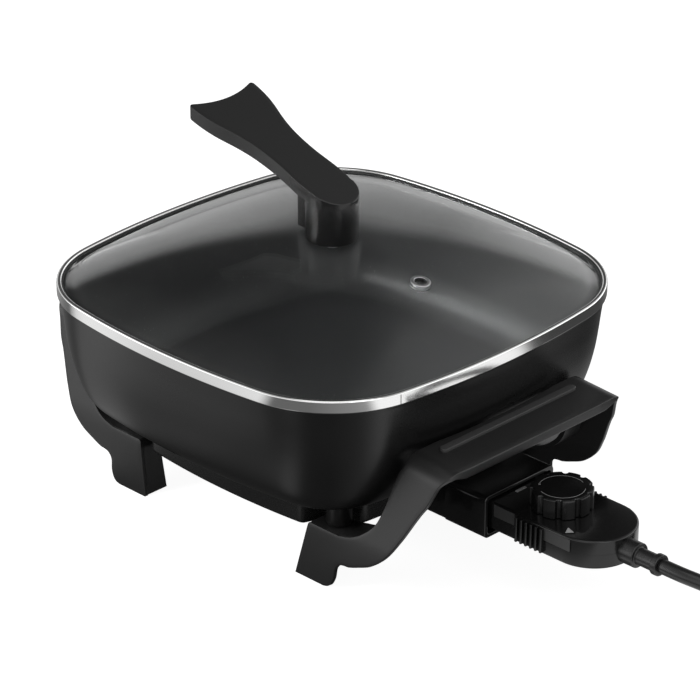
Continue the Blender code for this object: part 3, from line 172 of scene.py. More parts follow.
def roundedSquares(half, sideRadius, cornerRadius, sideSteps=22, cornerSteps=18):
    # barrel-sided squares, one ring for each value: side arcs of sideRadius, touched by corner arcs
    half, side, bend = (np.atleast_1d(np.asarray(v, float))[:, None] for v in (half, sideRadius, cornerRadius))
    centre, reach = side - half, side - bend
    corner = (np.sqrt(np.maximum(8 * reach ** 2 - 4 * centre ** 2, 0)) - 2 * centre) / 4
    angle = np.arctan2(corner + centre, corner)
    s = (np.arange(sideSteps) / sideSteps)[None, :]
    a = math.pi - angle + (2 * angle - math.pi) * s
    x, y = side * np.cos(a), side * np.sin(a) - centre
    s = (np.arange(cornerSteps) / cornerSteps)[None, :]
    a = angle + (math.pi / 2 - 2 * angle) * s
    x = np.concatenate([x, corner + bend * np.cos(a)], axis=1)
    y = np.concatenate([y, corner + bend * np.sin(a)], axis=1)
    return np.concatenate([columns(x * c - y * s, x * s + y * c) for c, s in quarterTurns], axis=1)


def rings(flat, heights):
    # rings of flat points set at their heights
    return columns(flat[..., 0], flat[..., 1], np.asarray(heights, float)[:, None])


def turned(profile, count, axis="z", place=(0, 0, 0)):
    # a profile of (along, radius) turned about the x or z axis through place
    profile = np.asarray(profile, float)
    a = 2 * math.pi * np.arange(count) / count
    u, v = profile[:, 1:2] * np.cos(a), profile[:, 1:2] * np.sin(a)
    along = profile[:, :1]
    return columns(*((along, u, v) if axis == "x" else (u, v, along))) + np.asarray(place, float)


def swept(path, section):
    # a section of (sideways, upwards) points at each point of a path, upright where the path is level
    along = unit(np.gradient(path, axis=0))
    side = unit(np.cross(along, (0.0, 0.0, 1.0)))
    up = np.cross(side, along)
    return path[:, None] + side[:, None] * section[..., :1] + up[:, None] * section[..., 1:]


def circle(radius, count):
    a = 2 * math.pi * np.arange(count) / count
    return columns(np.cos(a), np.sin(a)) * np.asarray(radius, float)[..., None, None]


def gridFaces(rows, cols, wrapRows=False):
    # quads between neighbouring rows, each row closed on itself
    r, c = np.meshgrid(np.arange(rows if wrapRows else rows - 1), np.arange(cols), indexing="ij")
    r2, c2 = (r + 1) % rows, (c + 1) % cols
    return columns(r * cols + c, r * cols + c2, r2 * cols + c2, r2 * cols + c).reshape(-1, 4).tolist()


def grid(points, wrapRows=False):
    # one closed skin: a grid of points, with flat caps on its first and last row unless the rows close
    rows, cols = points.shape[:2]
    faces = gridFaces(rows, cols, wrapRows)
    if not wrapRows:
        faces += [list(range(cols))[::-1], list(range((rows - 1) * cols, rows * cols))]
    return points.reshape(-1, 3), faces


def volumeSign(points, faces):
    # six times the volume within the faces: negative where they look inwards
    tris = np.array([(f[0], a, b) for f in faces for a, b in zip(f[1:], f[2:])])
    a, b, c = (points[tris[:, k]] for k in range(3))
    return float(np.einsum("ij,ij->i", a, np.cross(b, c)).sum())


def softBox(plan, levels):
    # rings of one flat outline, scaled about its middle: levels are (scale, height or a height for each point)
    centre = plan.mean(0)
    return np.array([columns(*(centre + (plan - centre) * scale).T, z) for scale, z in levels])


def piece(name, skins, look, body, slot, *nodes, crease=creaseAngle, uv=None, merge=False):
    # closed skins joined into one mesh, their faces turned outwards, in the place where they are seen
    points, faces, start = [], [], 0
    for own, ownFaces in skins:
        own = np.asarray(own, float)
        if volumeSign(own - own.mean(0), ownFaces) < 0:
            ownFaces = [f[::-1] for f in ownFaces]
        points.append(own)
        faces += [[i + start for i in f] for f in ownFaces]
        start += len(own)
    points = np.concatenate(points)
    mesh = bpy.data.meshes.new(name)
    mesh.from_pydata(points + np.array((panAxisX, 0.0, 0.0)), [], faces)
    if uv is not None:
        layer = mesh.uv_layers.new(name="along")
        index = np.zeros(len(mesh.loops), int)
        mesh.loops.foreach_get("vertex_index", index)
        layer.data.foreach_set("uv", np.asarray(uv, np.float32)[index].ravel())
    if merge:
        joined = bmesh.new()
        joined.from_mesh(mesh)
        bmesh.ops.remove_doubles(joined, verts=joined.verts, dist=2e-6)
        joined.to_mesh(mesh)
        joined.free()
    mesh.shade_smooth()
    mesh.set_sharp_from_angle(angle=crease)
    mesh.materials.append(looks[look])
    made = addObject(name, mesh)
    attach(made, body)
    if nodes:
        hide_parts(*nodes)
    return made


def secondLook(made, look, marked):
    # another material on the marked faces
    made.data.materials.append(looks[look])
    made.data.polygons.foreach_set("material_index", np.asarray(marked, np.int32))


# materials


class Wire:  # one output of a node; sums on it add Math nodes
    def __init__(self, look, socket):
        self.look, self.socket = look, socket

    def sum(self, operation, *values):
        return self.look.node("Math", values, operation=operation)

    def __add__(self, other):
        return self.sum("ADD", self, other)

    def __sub__(self, other):
        return self.sum("SUBTRACT", self, other)

    def __rsub__(self, other):
        return self.sum("SUBTRACT", other, self)

    def __mul__(self, other):
        return self.sum("MULTIPLY", self, other)

    def __truediv__(self, other):
        return self.sum("DIVIDE", self, other)

    __radd__, __rmul__ = __add__, __mul__


class Graph:  # a node tree; node() makes any node of it from its settings and its sockets' values or links
    def __init__(self, tree):
        self.tree = tree

    def node(self, kind, values=(), output=0, **settings):
        made = self.tree.nodes.new("ShaderNode" + kind)
        stops = settings.pop("stops", None)
        for key, value in settings.items():
            setattr(made, key, value)
        if stops:
            ramp = made.color_ramp.elements
            while len(ramp) < len(stops):
                ramp.new(0.5)
            for element, (place, shade) in zip(ramp, stops):
                element.position, element.color = place, (shade, shade, shade, 1.0)
        for key, value in (values.items() if isinstance(values, dict) else enumerate(values)):
            if isinstance(value, Wire):
                self.tree.links.new(value.socket, made.inputs[key])
            elif value is not None:
                made.inputs[key].default_value = value
        return Wire(self, made.outputs[output])

    def split(self, vector):
        # its x, y and z
        made = self.node("SeparateXYZ", [vector]).socket.node
        return [Wire(self, output) for output in made.outputs]

    def between(self, value, low, high, kind="SMOOTHSTEP"):
        # 0 up to low, 1 from high on
        return self.node("MapRange", [value, low, high, 0.0, 1.0], interpolation_type=kind)

    def around(self, x, y, *tables):
        # ramps over the angle of (x, y), their stops in degrees from -180 to 180
        turn = y.sum("ARCTAN2", y, x) / (2 * math.pi) + 0.5
        return [self.node("ValToRGB", [turn], stops=[(a / 360 + 0.5, v) for a, v in table]) for table in tables]

    def raySeen(self):
        # 1 for a camera ray, and 1 for a glossy or transmission ray
        path = [self.node("LightPath", output=k) for k in ("Is Camera Ray", "Is Glossy Ray", "Is Transmission Ray")]
        return path[0], path[1].sum("MAXIMUM", path[1], path[2])


def colour(value):
    # an (r, g, b), or one number for a grey, as a socket takes it
    return (*value, 1.0) if isinstance(value, tuple) else (value, value, value, 1.0)


class Look(Graph):  # a material whose shader's own sockets take the uniform values
    def __init__(self, name, **uniform):
        self.made = bpy.data.materials.new(name)
        self.made.use_nodes = True
        super().__init__(self.made.node_tree)
        self.shader = self.tree.nodes["Principled BSDF"]
        for key, value in uniform.items():
            socket = self.shader.inputs[key.replace("_", " ")]
            socket.default_value = colour(value) if isinstance(value, tuple) else value

    def place(self, output="Object"):
        return self.node("TexCoord", output=output)

    def fromAxis(self):
        # the place counted from the pan's axis
        return self.node("VectorMath", [self.place(), (panAxisX, 0.0, 0.0)], operation="SUBTRACT")

    def noise(self, scale, detail=3.0, vector=None):
        return self.node("TexNoise", {"Vector": vector or self.place(), "Scale": scale, "Detail": detail})

    def feed(self, **links):
        for key, value in links.items():
            self.tree.links.new(value.socket, self.shader.inputs[key.replace("_", " ")])
        return self.made

    def bump(self, height, distance):
        return self.node("Bump", {"Height": height, "Distance": distance, "Strength": 1.0})

    def shades(self, mask, dark, light):
        # the colour goes from dark to light with the mask
        return self.node("Mix", {0: mask, 6: colour(dark), 7: colour(light)}, output=2, data_type="RGBA")


def evenFinish(name, dark, light, rough, grain, scales, spread, detail=3.0, **uniform):
    # slow drift of colour and gloss, and a fine grain that stands as relief: scales and spread are (drift, grain)
    look = Look(name, **uniform)
    drift, fine = (look.noise(scale, detail) for scale in scales)
    return look.feed(
        Base_Color=look.shades(drift, dark, light), Roughness=fine * spread[1] + drift * spread[0] + rough,
        Normal=look.bump(fine, grain * mm),
    )


def mouldedPlastic(name, dark, light, rough, grain, scale=1400.0):
    # injection-moulded plastic with fine spark-eroded grain; rough is the middle of its roughness
    return evenFinish(name, dark, light, rough - 0.09, grain, (14.0, scale), (0.08, 0.10))


def softRubber(name, dark, light, rough):
    return evenFinish(name, dark, light, rough, 0.008, (30.0, 1600.0), (0.06, 0.10), 2.0)


def plainMetal(name, shade, rough, spread=0.10, scale=500.0, grain=0.006):
    return evenFinish(name, tuple(s * 0.85 for s in shade), shade, rough, grain, (60.0, scale), (spread, 0.06),
                      Metallic=1.0)


def lidHandlePlastic(top, slope, near, far):
    # satin on the paddle, polished round the post: as far as near from its axis, and below the paddle's sloping top
    look = Look("lid handle black")
    drift, fine = look.noise(14.0), look.noise(1400.0)
    x, y, z = look.split(look.fromAxis())
    away = x.sum("POWER", x * x + y * y, 0.5)
    upper = look.between(z + x * slope, top - 1.2 * mm, top - 0.4 * mm, "LINEAR")
    satin = upper.sum("MAXIMUM", look.between(away, near, far), upper)
    return look.feed(
        Base_Color=look.shades(satin * 0.85 + drift * 0.15, 0.006, 0.016),
        Roughness=fine * 0.08 + drift * 0.06 + satin * 0.20 + 0.07, Normal=look.bump(fine, 0.010 * mm),
    )


def nonStickCoating():
    # pale flecks where some cells of a pattern meet a patchy noise
    look = Look("non-stick coating")
    drift, fine = look.noise(11.0), look.noise(1100.0)
    cells = look.node("TexVoronoi", {"Vector": look.place(), "Scale": 420.0})
    fleck = look.node("ValToRGB", [cells], stops=((0.10, 1.0), (0.16, 0.0)))
    fleck = fleck * look.node("ValToRGB", [look.noise(260.0, 1.0)], stops=((0.50, 0.0), (0.60, 1.0)))
    return look.feed(
        Base_Color=look.shades(fleck * 0.8 + drift * 0.2, (0.022, 0.022, 0.023), (0.11, 0.11, 0.112)),
        Roughness=fine * 0.12 + drift * 0.06 + 0.34, Normal=look.bump(fine, 0.02 * mm),
    )


def brushedSteel(name, shade, rough, streak, linesPerMetre):
    # brushed along the piece: noise stretched by the piece's own u (along) and v (across), in metres
    look = Look(name, Metallic=1.0)
    lines, drift = (
        look.noise(scale, detail, look.node("Mapping", {"Vector": look.place("UV"), "Scale": stretch}))
        for scale, detail, stretch in ((1.0, 3.0, (6.0, linesPerMetre, 1.0)), (3.0, 2.0, (7.0, 60.0, 1.0)))
    )
    return look.feed(
        Base_Color=look.shades(lines, tuple(s * 0.92 for s in shade), shade),
        Roughness=lines * streak + drift * 0.04 + rough, Normal=look.bump(lines, 0.004 * mm),
    )


def clearGlass():
    # toughened lid glass; its shadow rays pass through, so that the pan under it is lit
    look = Look("lid glass", Base_Color=(0.93, 0.945, 0.94), Roughness=0.0, IOR=1.5, Transmission_Weight=1.0)
    tree = look.tree
    clear = look.node("BsdfTransparent", {"Color": (0.90, 0.91, 0.905, 1.0)})
    shadow = look.node("LightPath", output="Is Shadow Ray")
    mixed = look.node("MixShader", {0: shadow, 2: clear})
    tree.links.new(look.shader.outputs[0], mixed.socket.node.inputs[1])
    tree.links.new(mixed.socket, tree.nodes["Material Output"].inputs["Surface"])
    return look.made


looks = {
    "pan": evenFinish("satin black coating", 0.0055, 0.0075, 0.22, 0.012, (9.0, 900.0), (0.06, 0.08)),
    "inside": nonStickCoating(),
    "leg": mouldedPlastic("moulded black, matt", 0.014, 0.018, 0.33, 0.02),
    "grip": mouldedPlastic("grip strip, textured", 0.045, 0.058, 0.45, 0.05),
    "socket": mouldedPlastic("socket black, gloss", 0.009, 0.011, 0.16, 0.004),
    "control": mouldedPlastic("control black, gloss", 0.006, 0.008, 0.17, 0.004),
    # paler patches on the heat control's sides: painted reflections of the floor
    "paintedReflection": mouldedPlastic("painted reflections on the control, satin", 0.042, 0.048, 0.42, 0.01),
    "dial": mouldedPlastic("dial black", 0.006, 0.008, 0.20, 0.004),
    "cover": mouldedPlastic("heater cover enamel", 0.010, 0.014, 0.26, 0.006, 500.0),
    "lens": mouldedPlastic("indicator lens", 0.42, 0.50, 0.16, 0.002),
    "mark": mouldedPlastic("printed mark", 0.34, 0.40, 0.40, 0.002),
    "band": brushedSteel("rim band steel", (0.93, 0.93, 0.925), 0.09, 0.05, 2600.0),
    "steel": plainMetal("plated steel", (0.62, 0.62, 0.63), 0.26),
    "screws": plainMetal("screw steel", (0.50, 0.50, 0.51), 0.30),
    "brass": plainMetal("plug brass", (0.80, 0.66, 0.38), 0.24),
    "element": plainMetal("element sheath", (0.30, 0.28, 0.26), 0.42, 0.14, 300.0, 0.02),
    "glass": clearGlass(),
    "gasket": softRubber("lid gasket rubber", 0.026, 0.034, 0.42),
    "rubber": softRubber("cord rubber", 0.013, 0.017, 0.20),
    "tie": softRubber("cord tie", 0.03, 0.045, 0.50),
    "ceramic": softRubber("thermostat ceramic", (0.62, 0.60, 0.55), (0.70, 0.68, 0.63), 0.55),
}
print("materials:", len(looks))


# cord: out of the strain relief, down to the floor and into a flat coil of two layers

cord = dict(
    millimetres(
        radius=4.7, coilRadius=57.0, pitch=10.4, layer=10.2, lowest=5.6, plugLead=22.0, plugHeight=18.2, gap=0.3,
        coilCentre=(323.4, 99.0),
    ),
    route=(
        (278.1, 0.0, 46.9), (286.5, 0.0, 46.9), (295.5, 0.8, 46.5), (304.5, 3.2, 45.3), (314.5, 7.6, 42.6),
        (326.0, 14.2, 38.0), (338.0, 22.6, 30.2), (349.5, 32.8, 21.6), (360.2, 43.8, 13.6), (370.2, 55.2, 8.0),
        (378.4, 67.2, 5.8),
    ),
    turnsIn=1.2, turnsClimb=0.5, turnsOut=1.2, perTurn=48, freeSteps=64, round=24, endScale=0.9125,
)


def coilPath(c):
    # spirals in on the floor, climbs one layer while it turns back, and spirals out on top of itself
    turns = c["turnsIn"] + c["turnsClimb"] + c["turnsOut"]
    back = c["turnsIn"] + c["turnsClimb"] / 2
    t = np.linspace(0, turns, round(turns * c["perTurn"]) + 1)
    radius = c["coilRadius"] - c["pitch"] * (back - np.abs(t - back))
    climb = smoothStep((t - c["turnsIn"]) / c["turnsClimb"])
    a = 2 * math.pi * t
    x, y = c["coilCentre"]
    return columns(x + radius * np.cos(a), y + radius * np.sin(a), c["lowest"] + climb * c["layer"])


def cordPath(c):
    # the free length into the coil, the coil, and a short rise from its end to the plug
    coil = coilPath(c)
    first = unit(coil[1] - coil[0])
    last = unit((coil[-1] - coil[-2]) * (1.0, 1.0, 0.0))
    route = np.array(c["route"]) * mm
    route = np.vstack([route, coil[0] - first * (4 * c["radius"]), coil[0] - first * c["gap"]])
    free = evenly(curveThrough(route, 24), c["freeSteps"])
    plugStart = coil[-1] + last * c["plugLead"]
    plugStart[2] = c["plugHeight"]
    t = np.linspace(0, 1, 11)[1:, None]
    lead = coil[-1] + (plugStart - coil[-1]) * t
    lead[:, 2] = coil[-1, 2] + (plugStart[2] - coil[-1, 2]) * smoothStep(t[:, 0])
    return np.vstack([free, coil, lead]), plugStart, last


def makeCord(c, path):
    # a round tube along the path, its two ends a little narrower
    section = circle(np.full(len(path), c["radius"]), c["round"])
    section[[0, -1]] *= c["endScale"]
    return piece("mainsCord", [grid(swept(path, section))], "rubber", "heat_control", "rubber", "cord", "cord_coil")


path, plugStart, plugAlong = cordPath(cord)
cordPiece = makeCord(cord, path)

plug = millimetres(
    tail=6.4, waist=9.0, face=18.2, length=52.0, waistAt=16.0, faceAt=38.0, faceEase=(-3.0, 1.0), edge=1.2,
    ribPitch=2.6, ribDepth=0.5, ribFade=1.0, start=0.2, middle=2.0, pinRadius=2.4, pinLength=19.0, pinSpacing=19.0,
    pinTip=0.02,
)


def turnTo(points, along, place):
    # from the x axis to a level direction, then to a place
    c, s = along[:2]
    turn = np.array(((c, s, 0.0), (-s, c, 0.0), (0.0, 0.0, 1.0)))
    return points @ turn + place


def makePlug(p):
    # a turned body with soft ribs on its tail, and two round-nosed pins
    start = plugStart + plugAlong * cord["gap"]
    table = curveThrough([
        (0.0, p["tail"]), (p["waistAt"] * 0.5, p["tail"] * 1.12), (p["waistAt"], p["waist"]),
        ((p["waistAt"] + p["faceAt"]) / 2, p["waist"] * 1.32), (p["faceAt"] + p["faceEase"][0], p["face"] * 0.97),
        (p["faceAt"] + p["faceEase"][1], p["face"]),
    ], 10)
    ribs = p["ribDepth"] * np.cos(table[:, 0] / p["ribPitch"] * 2 * math.pi)
    table[:, 1] += np.minimum(ribs * smoothStep((p["waistAt"] - table[:, 0]) / p["ribFade"]), 0.0)
    soft = p["edge"]
    s, c = quarter(7)
    edge = columns(p["length"] - soft + soft * s, p["face"] - soft + soft * c)
    profile = np.vstack([[(0.0, p["tail"] * 0.9)], table + (p["start"], 0.0), edge, [(p["length"], p["middle"])]])
    points, faces = grid(turned(profile, 48, "x"))
    made = [piece("plugBody", [(turnTo(points, plugAlong, start), faces)], "rubber", "heat_control", "rubber",
                  "plug_body")]
    s, c = quarter(8)
    nose = columns(p["pinLength"] - p["pinRadius"] + p["pinRadius"] * s, p["pinRadius"] * c + p["pinTip"])
    points, faces = grid(turned(np.vstack([[(0.0, p["pinRadius"])], nose]), 24, "x"))
    across = np.array((-plugAlong[1], plugAlong[0], 0.0))
    for k, side in ((1, -0.5), (2, 0.5)):
        place = start + plugAlong * (p["length"] + cord["gap"]) + across * side * p["pinSpacing"]
        made.append(piece("plugPin%d" % k, [(turnTo(points, plugAlong, place), faces)], "brass",
                          "heat_control", "brass", "plug_pin_%d" % k))
    return made


plugPieces = makePlug(plug)

relief = millimetres(
    start=245.5, collarEnd=260.6, ring=273.6, end=277.8, collar=8.0, sleeve=5.5, ringRadius=6.9, height=46.9, soft=0.7,
)


def makeRelief(r):
    corners = [
        (r["start"], r["collar"]), (r["collarEnd"], r["collar"]), (r["collarEnd"], r["sleeve"]),
        (r["ring"], r["sleeve"]), (r["ring"], r["ringRadius"]), (r["end"], r["ringRadius"]),
        (r["end"], r["sleeve"] * 0.6),
    ]
    profile = roundedLine(corners, (r["soft"],) * 5, 6)
    return piece("strainRelief", [grid(turned(profile, 64, "x", (0, 0, r["height"])))], "rubber",
                 "heat_control", "rubber", "strain_relief")


reliefPiece = makeRelief(relief)

tie = dict(millimetres(low=36.9, high=62.0, width=12.0, thickness=0.6, top=21.4, corner=2.6), angle=math.radians(135.0))


def makeTie(t):
    # a strap carried round both layers of the coil; its section turns soft at the corners
    thick = t["thickness"]
    loop = roundedBox(t["low"] - thick / 2, t["high"] + thick / 2, thick / 2, t["top"], (t["corner"],) * 4, 8)
    out = sideways(loop, closed=True)
    section = ((-1, -0.5), (-0.97, 0.5), (0.97, 0.5), (1, -0.5))
    points = np.stack([
        columns(loop[:, 0] + out[:, 0] * v * thick, u * t["width"] / 2, loop[:, 1] + out[:, 1] * v * thick)
        for u, v in section
    ], axis=1)
    flat, faces = grid(points, wrapRows=True)
    along = (math.cos(t["angle"]), math.sin(t["angle"]))
    flat = turnTo(flat, along, np.array((*cord["coilCentre"], 0.0)))
    return piece("cordTie", [(flat, faces)], "tie", "heat_control", "tie", "cord_tie")


tiePiece = makeTie(tie)
worldPath = path + np.array((panAxisX, 0.0, 0.0))
2 * cord["radius"]


# rim line, shared by the pan, the band, the gasket and the glass

rim = dict(millimetres(half=150.0, height=145.6), flatness=3.8467, roundness=0.5)


def rimRings(insets, heights):
    # rings of the rim line moved in by the insets
    insets = np.asarray(insets, float)
    half = rim["half"]
    side, corner = half * rim["flatness"] - insets, half * rim["roundness"] - insets
    return rings(roundedSquares(half - insets, side, corner), heights)


def alongUv(points):
    # u runs along each ring and v across the rings, both in metres
    ahead = np.linalg.norm(np.diff(points, axis=1), axis=2)
    u = np.concatenate([np.zeros((len(points), 1)), np.cumsum(ahead, axis=1)], axis=1)
    v = runOf(points[:, 0])
    return columns(u[:1], v[:, None]).reshape(-1, 2)


# lid: folded steel band, gasket, domed glass, vent and handle

band = millimetres(
    height=8.1, wall=0.8, lip=3.3, fold=1.7, outerRound=1.3, innerRound=1.1, lowRound=0.6, soft=0.3, start=0.4,
)


def makeBand(b):
    # the folded channel's section as (inset, height), carried round the rim line
    h, w, lip, fold = b["height"], b["wall"], b["lip"], b["fold"]
    start = (lip - b["start"], -h)
    corners = [start, (0.0, -h), (0.0, 0.0), (lip, 0.0), (lip, -fold), (lip - w, -fold), (lip - w, -w),
               (w, -w), (w, w - h), (lip, w - h), (lip, -h), start]
    rounds = (b["lowRound"], b["outerRound"], b["innerRound"]) + (b["soft"],) * 7
    section = roundedLine(corners, rounds, 10)[:-1]
    points = rimRings(section[:, 0], rim["height"] + section[:, 1])
    piece("lidRimBand", [grid(points, wrapRows=True)], "band", "lid", "steel", "lid_rim_band",
          crease=math.radians(50), uv=alongUv(points))


makeBand(band)

seam = millimetres(place=(143.9, -83.4), wide=0.5, sunk=0.25, proud=0.04, end=0.3)


def makeSeam(s):
    # the thin upright joint where the band's two ends meet
    line = rimRings([0.0], [0.0])[0, :, :2]
    at = int(np.argmin(np.linalg.norm(line - s["place"], axis=1)))
    out = sideways(line, closed=True)[at]
    out *= np.sign(out @ line[at])
    ahead = np.array((-out[1], out[0])) * s["wide"] / 2
    plan = line[at] + np.array([ahead * side + out * far for side, far in (
        (-1, -s["sunk"]), (1, -s["sunk"]), (1, s["proud"]), (-1, s["proud"]))])
    low, high = rim["height"] - band["height"] + s["end"], rim["height"] - band["outerRound"]
    piece("bandSeam", [grid(softBox(plan, ((1.0, low), (1.0, high))))], "gasket", "lid", "gasket")


makeSeam(seam)

gasket = dict(
    millimetres(outer=1.1, reach=4.4, web=1.2, top=1.8, lip=0.5, glass=4.0, gap=0.15, lift=0.3),
    rounds=(0.5, 0.3, 0.35, 0.2, 0.0, 0.0, 0.3, 0.5),
)


def makeGasket(g):
    # a rubber channel in the band, seen as a narrow ring between the turned-down lip and the glass
    bottom = rim["height"] - band["height"] + band["wall"] + g["lift"]
    top, outer, slot, reach = rim["height"] - g["top"], g["outer"], g["outer"] + g["web"], g["reach"]
    slotTop = top - g["lip"]
    slotBottom = slotTop - g["glass"] - 2 * g["gap"]
    start = ((outer + reach) / 2, bottom)
    corners = [start, (outer, bottom), (outer, top), (reach, top), (reach, slotTop), (slot, slotTop),
               (slot, slotBottom), (reach, slotBottom), (reach, bottom), start]
    section = roundedLine(corners, np.array(g["rounds"]) * mm, 5)[:-1]
    piece("lidGasket", [grid(rimRings(section[:, 0], section[:, 1]), wrapRows=True)], "gasket", "lid",
          "gasket", "lid_gasket")


makeGasket(gasket)

glass = dict(
    millimetres(thickness=4.0, edgeInset=2.6, edgeDrop=2.4, rise=29.3, hole=4.0, border=1.8, soft=2.2, ventX=77.0),
    power=2.75, softShare=0.55, softPower=1.5, rows=48, rowSpread=1.4, underEase=0.03, edgeShare=0.016,
    ventTilt=math.radians(10.5),
)
glassEdgeTop = rim["height"] - glass["edgeDrop"]
domeTop = glassEdgeTop + glass["rise"]


def domeSection(g):
    # (inset, height, share) from the edge to the middle: height = rise * (1 - radius ** power), blended into a
    # flat border; share makes the rings rounder on the way in
    span = rim["half"] - g["edgeInset"]
    rows = np.linspace(0, 1, g["rows"]) ** g["rowSpread"]
    inset = np.concatenate([[0.0, g["border"] * 0.5], g["border"] + (span - g["border"]) * rows])[:-1]
    away = np.maximum(inset - g["border"], 0.0)
    radius = 1 - away / (span - g["border"])
    blend = 1 - np.exp(-(away / g["soft"]) ** g["softPower"]) * g["softShare"]
    height = g["rise"] * (1 - np.abs(radius) ** g["power"]) * blend
    return columns(g["edgeInset"] + inset, glassEdgeTop + height, inset / span)


def domeRings(section):
    half = rim["half"] - section[:, 0]
    share = np.minimum(section[:, 2], 0.99)
    roundness = rim["roundness"] + (1 - rim["roundness"]) * share
    flatness = rim["flatness"] + (1 - rim["flatness"]) * share
    return rings(roundedSquares(half, half * flatness, half * roundness), section[:, 1])


def glassHeight(x):
    section = domeSection(glass)[::-1]
    return float(np.interp(x, rim["half"] - section[:, 0], section[:, 1]))


def ventPlace():
    normal = np.array((math.sin(glass["ventTilt"]), 0.0, math.cos(glass["ventTilt"])))
    return np.array((glass["ventX"], 0.0, glassHeight(glass["ventX"]))) - normal * glass["thickness"] / 2


def makeGlass(g):
    # the dome's top skin and the same skin a thickness below it, joined at the edge and round the middle hole
    top = domeSection(g)
    top = top[rim["half"] - top[:, 0] > g["hole"]]
    top = np.vstack([top, (rim["half"] - g["hole"], domeTop, 1.0)])
    slope = unit(np.gradient(top[:, :2], axis=0))
    under = top.copy()
    under[:, 0] += g["thickness"] * slope[:, 1] * smoothStep(top[:, 2] / g["underEase"])
    under[:, 1] -= g["thickness"] * np.where(top[:, 2] < g["edgeShare"], 1.0, slope[:, 0])
    section = np.vstack([top, under[::-1]])
    piece("lidGlass", [grid(domeRings(section), wrapRows=True)], "glass", "lid", "glass",
          "lid_glass", crease=math.radians(60))


makeGlass(glass)

vent = dict(
    millimetres(hole=4.0, wall=0.8, flange=1.6, flangeHeight=0.7, gap=0.15),
    rounds=(0.35, 0.3, 0.3, 0.0, 0.0, 0.3, 0.8, 0.5),
)


def tilted(points, angle, place):
    c, s = math.cos(angle), math.sin(angle)
    turn = np.array(((c, 0.0, -s), (0.0, 1.0, 0.0), (s, 0.0, c)))
    return points @ turn + place


def makeVent(v):
    # a turned eyelet: bore, rolled flange above and below the glass; the bore gets the dark gasket rubber as painted
    # shade in the hole
    hole, wall = v["hole"], v["hole"] + v["wall"]
    half = glass["thickness"] / 2 + v["gap"]
    flange, tall = wall + v["flange"], half + v["flangeHeight"]
    corners = [(0.0, hole), (-tall, hole), (-tall, flange), (-half, flange), (-half, wall), (half, wall),
               (half, flange), (tall, flange), (tall, hole), (0.0, hole)]
    profile = roundedLine(corners, np.array(v["rounds"]) * mm, 6)[:-1]
    points, faces = grid(turned(profile, 48), wrapRows=True)
    made = piece("ventEyelet", [(tilted(points, glass["ventTilt"], ventPlace()), faces)], "steel", "lid",
                 "steel", "vent_eyelet")
    radius = np.linalg.norm(points[:, :2], axis=1)
    # painted shade: the bore's faces take the dark gasket rubber
    secondLook(made, "gasket", [max(radius[face]) < hole + 0.05 * mm for face in faces])


makeVent(vent)

handle = dict(
    millimetres(
        post=17.15, height=62.2, length=101.4, bow=6.0, tailHalf=27.9, thickness=9.6, edge=0.6, underEdge=1.1,
        tailCorner=3.4, strutBack=26.2, strutThick=9.3, strutHalf=5.0, strutRise=1.8, strutEdge=0.9, sealThick=0.5,
        gap=0.3, rooted=3.0, postClear=0.02,
        polished=(19.0, 32.0),  # from the post's axis: polished up to the first, satin from the second
    ),
    widths=(  # mm back from the post's axis, and half the width
        (92.0, 27.6), (85.4, 26.75), (79.3, 25.4), (73.6, 23.7), (67.9, 21.7), (62.1, 19.95), (56.2, 18.5),
        (50.1, 17.45), (43.9, 16.8), (37.5, 16.45), (31.0, 16.4), (24.4, 16.75), (17.5, 17.25), (10.9, 17.5),
        (4.6, 17.25), (0.0, 16.75),
    ),
    postSoft=((0.96, 0.0), (0.985, 0.15), (1.0, 0.7)), strutSoft=((0.8, 0.0), (0.94, 0.3), (1.0, 0.9)),
    slope=0.335, bowStart=0.70,
)


def paddleTop(x):
    return rim["height"] + handle["height"] - handle["slope"] * x


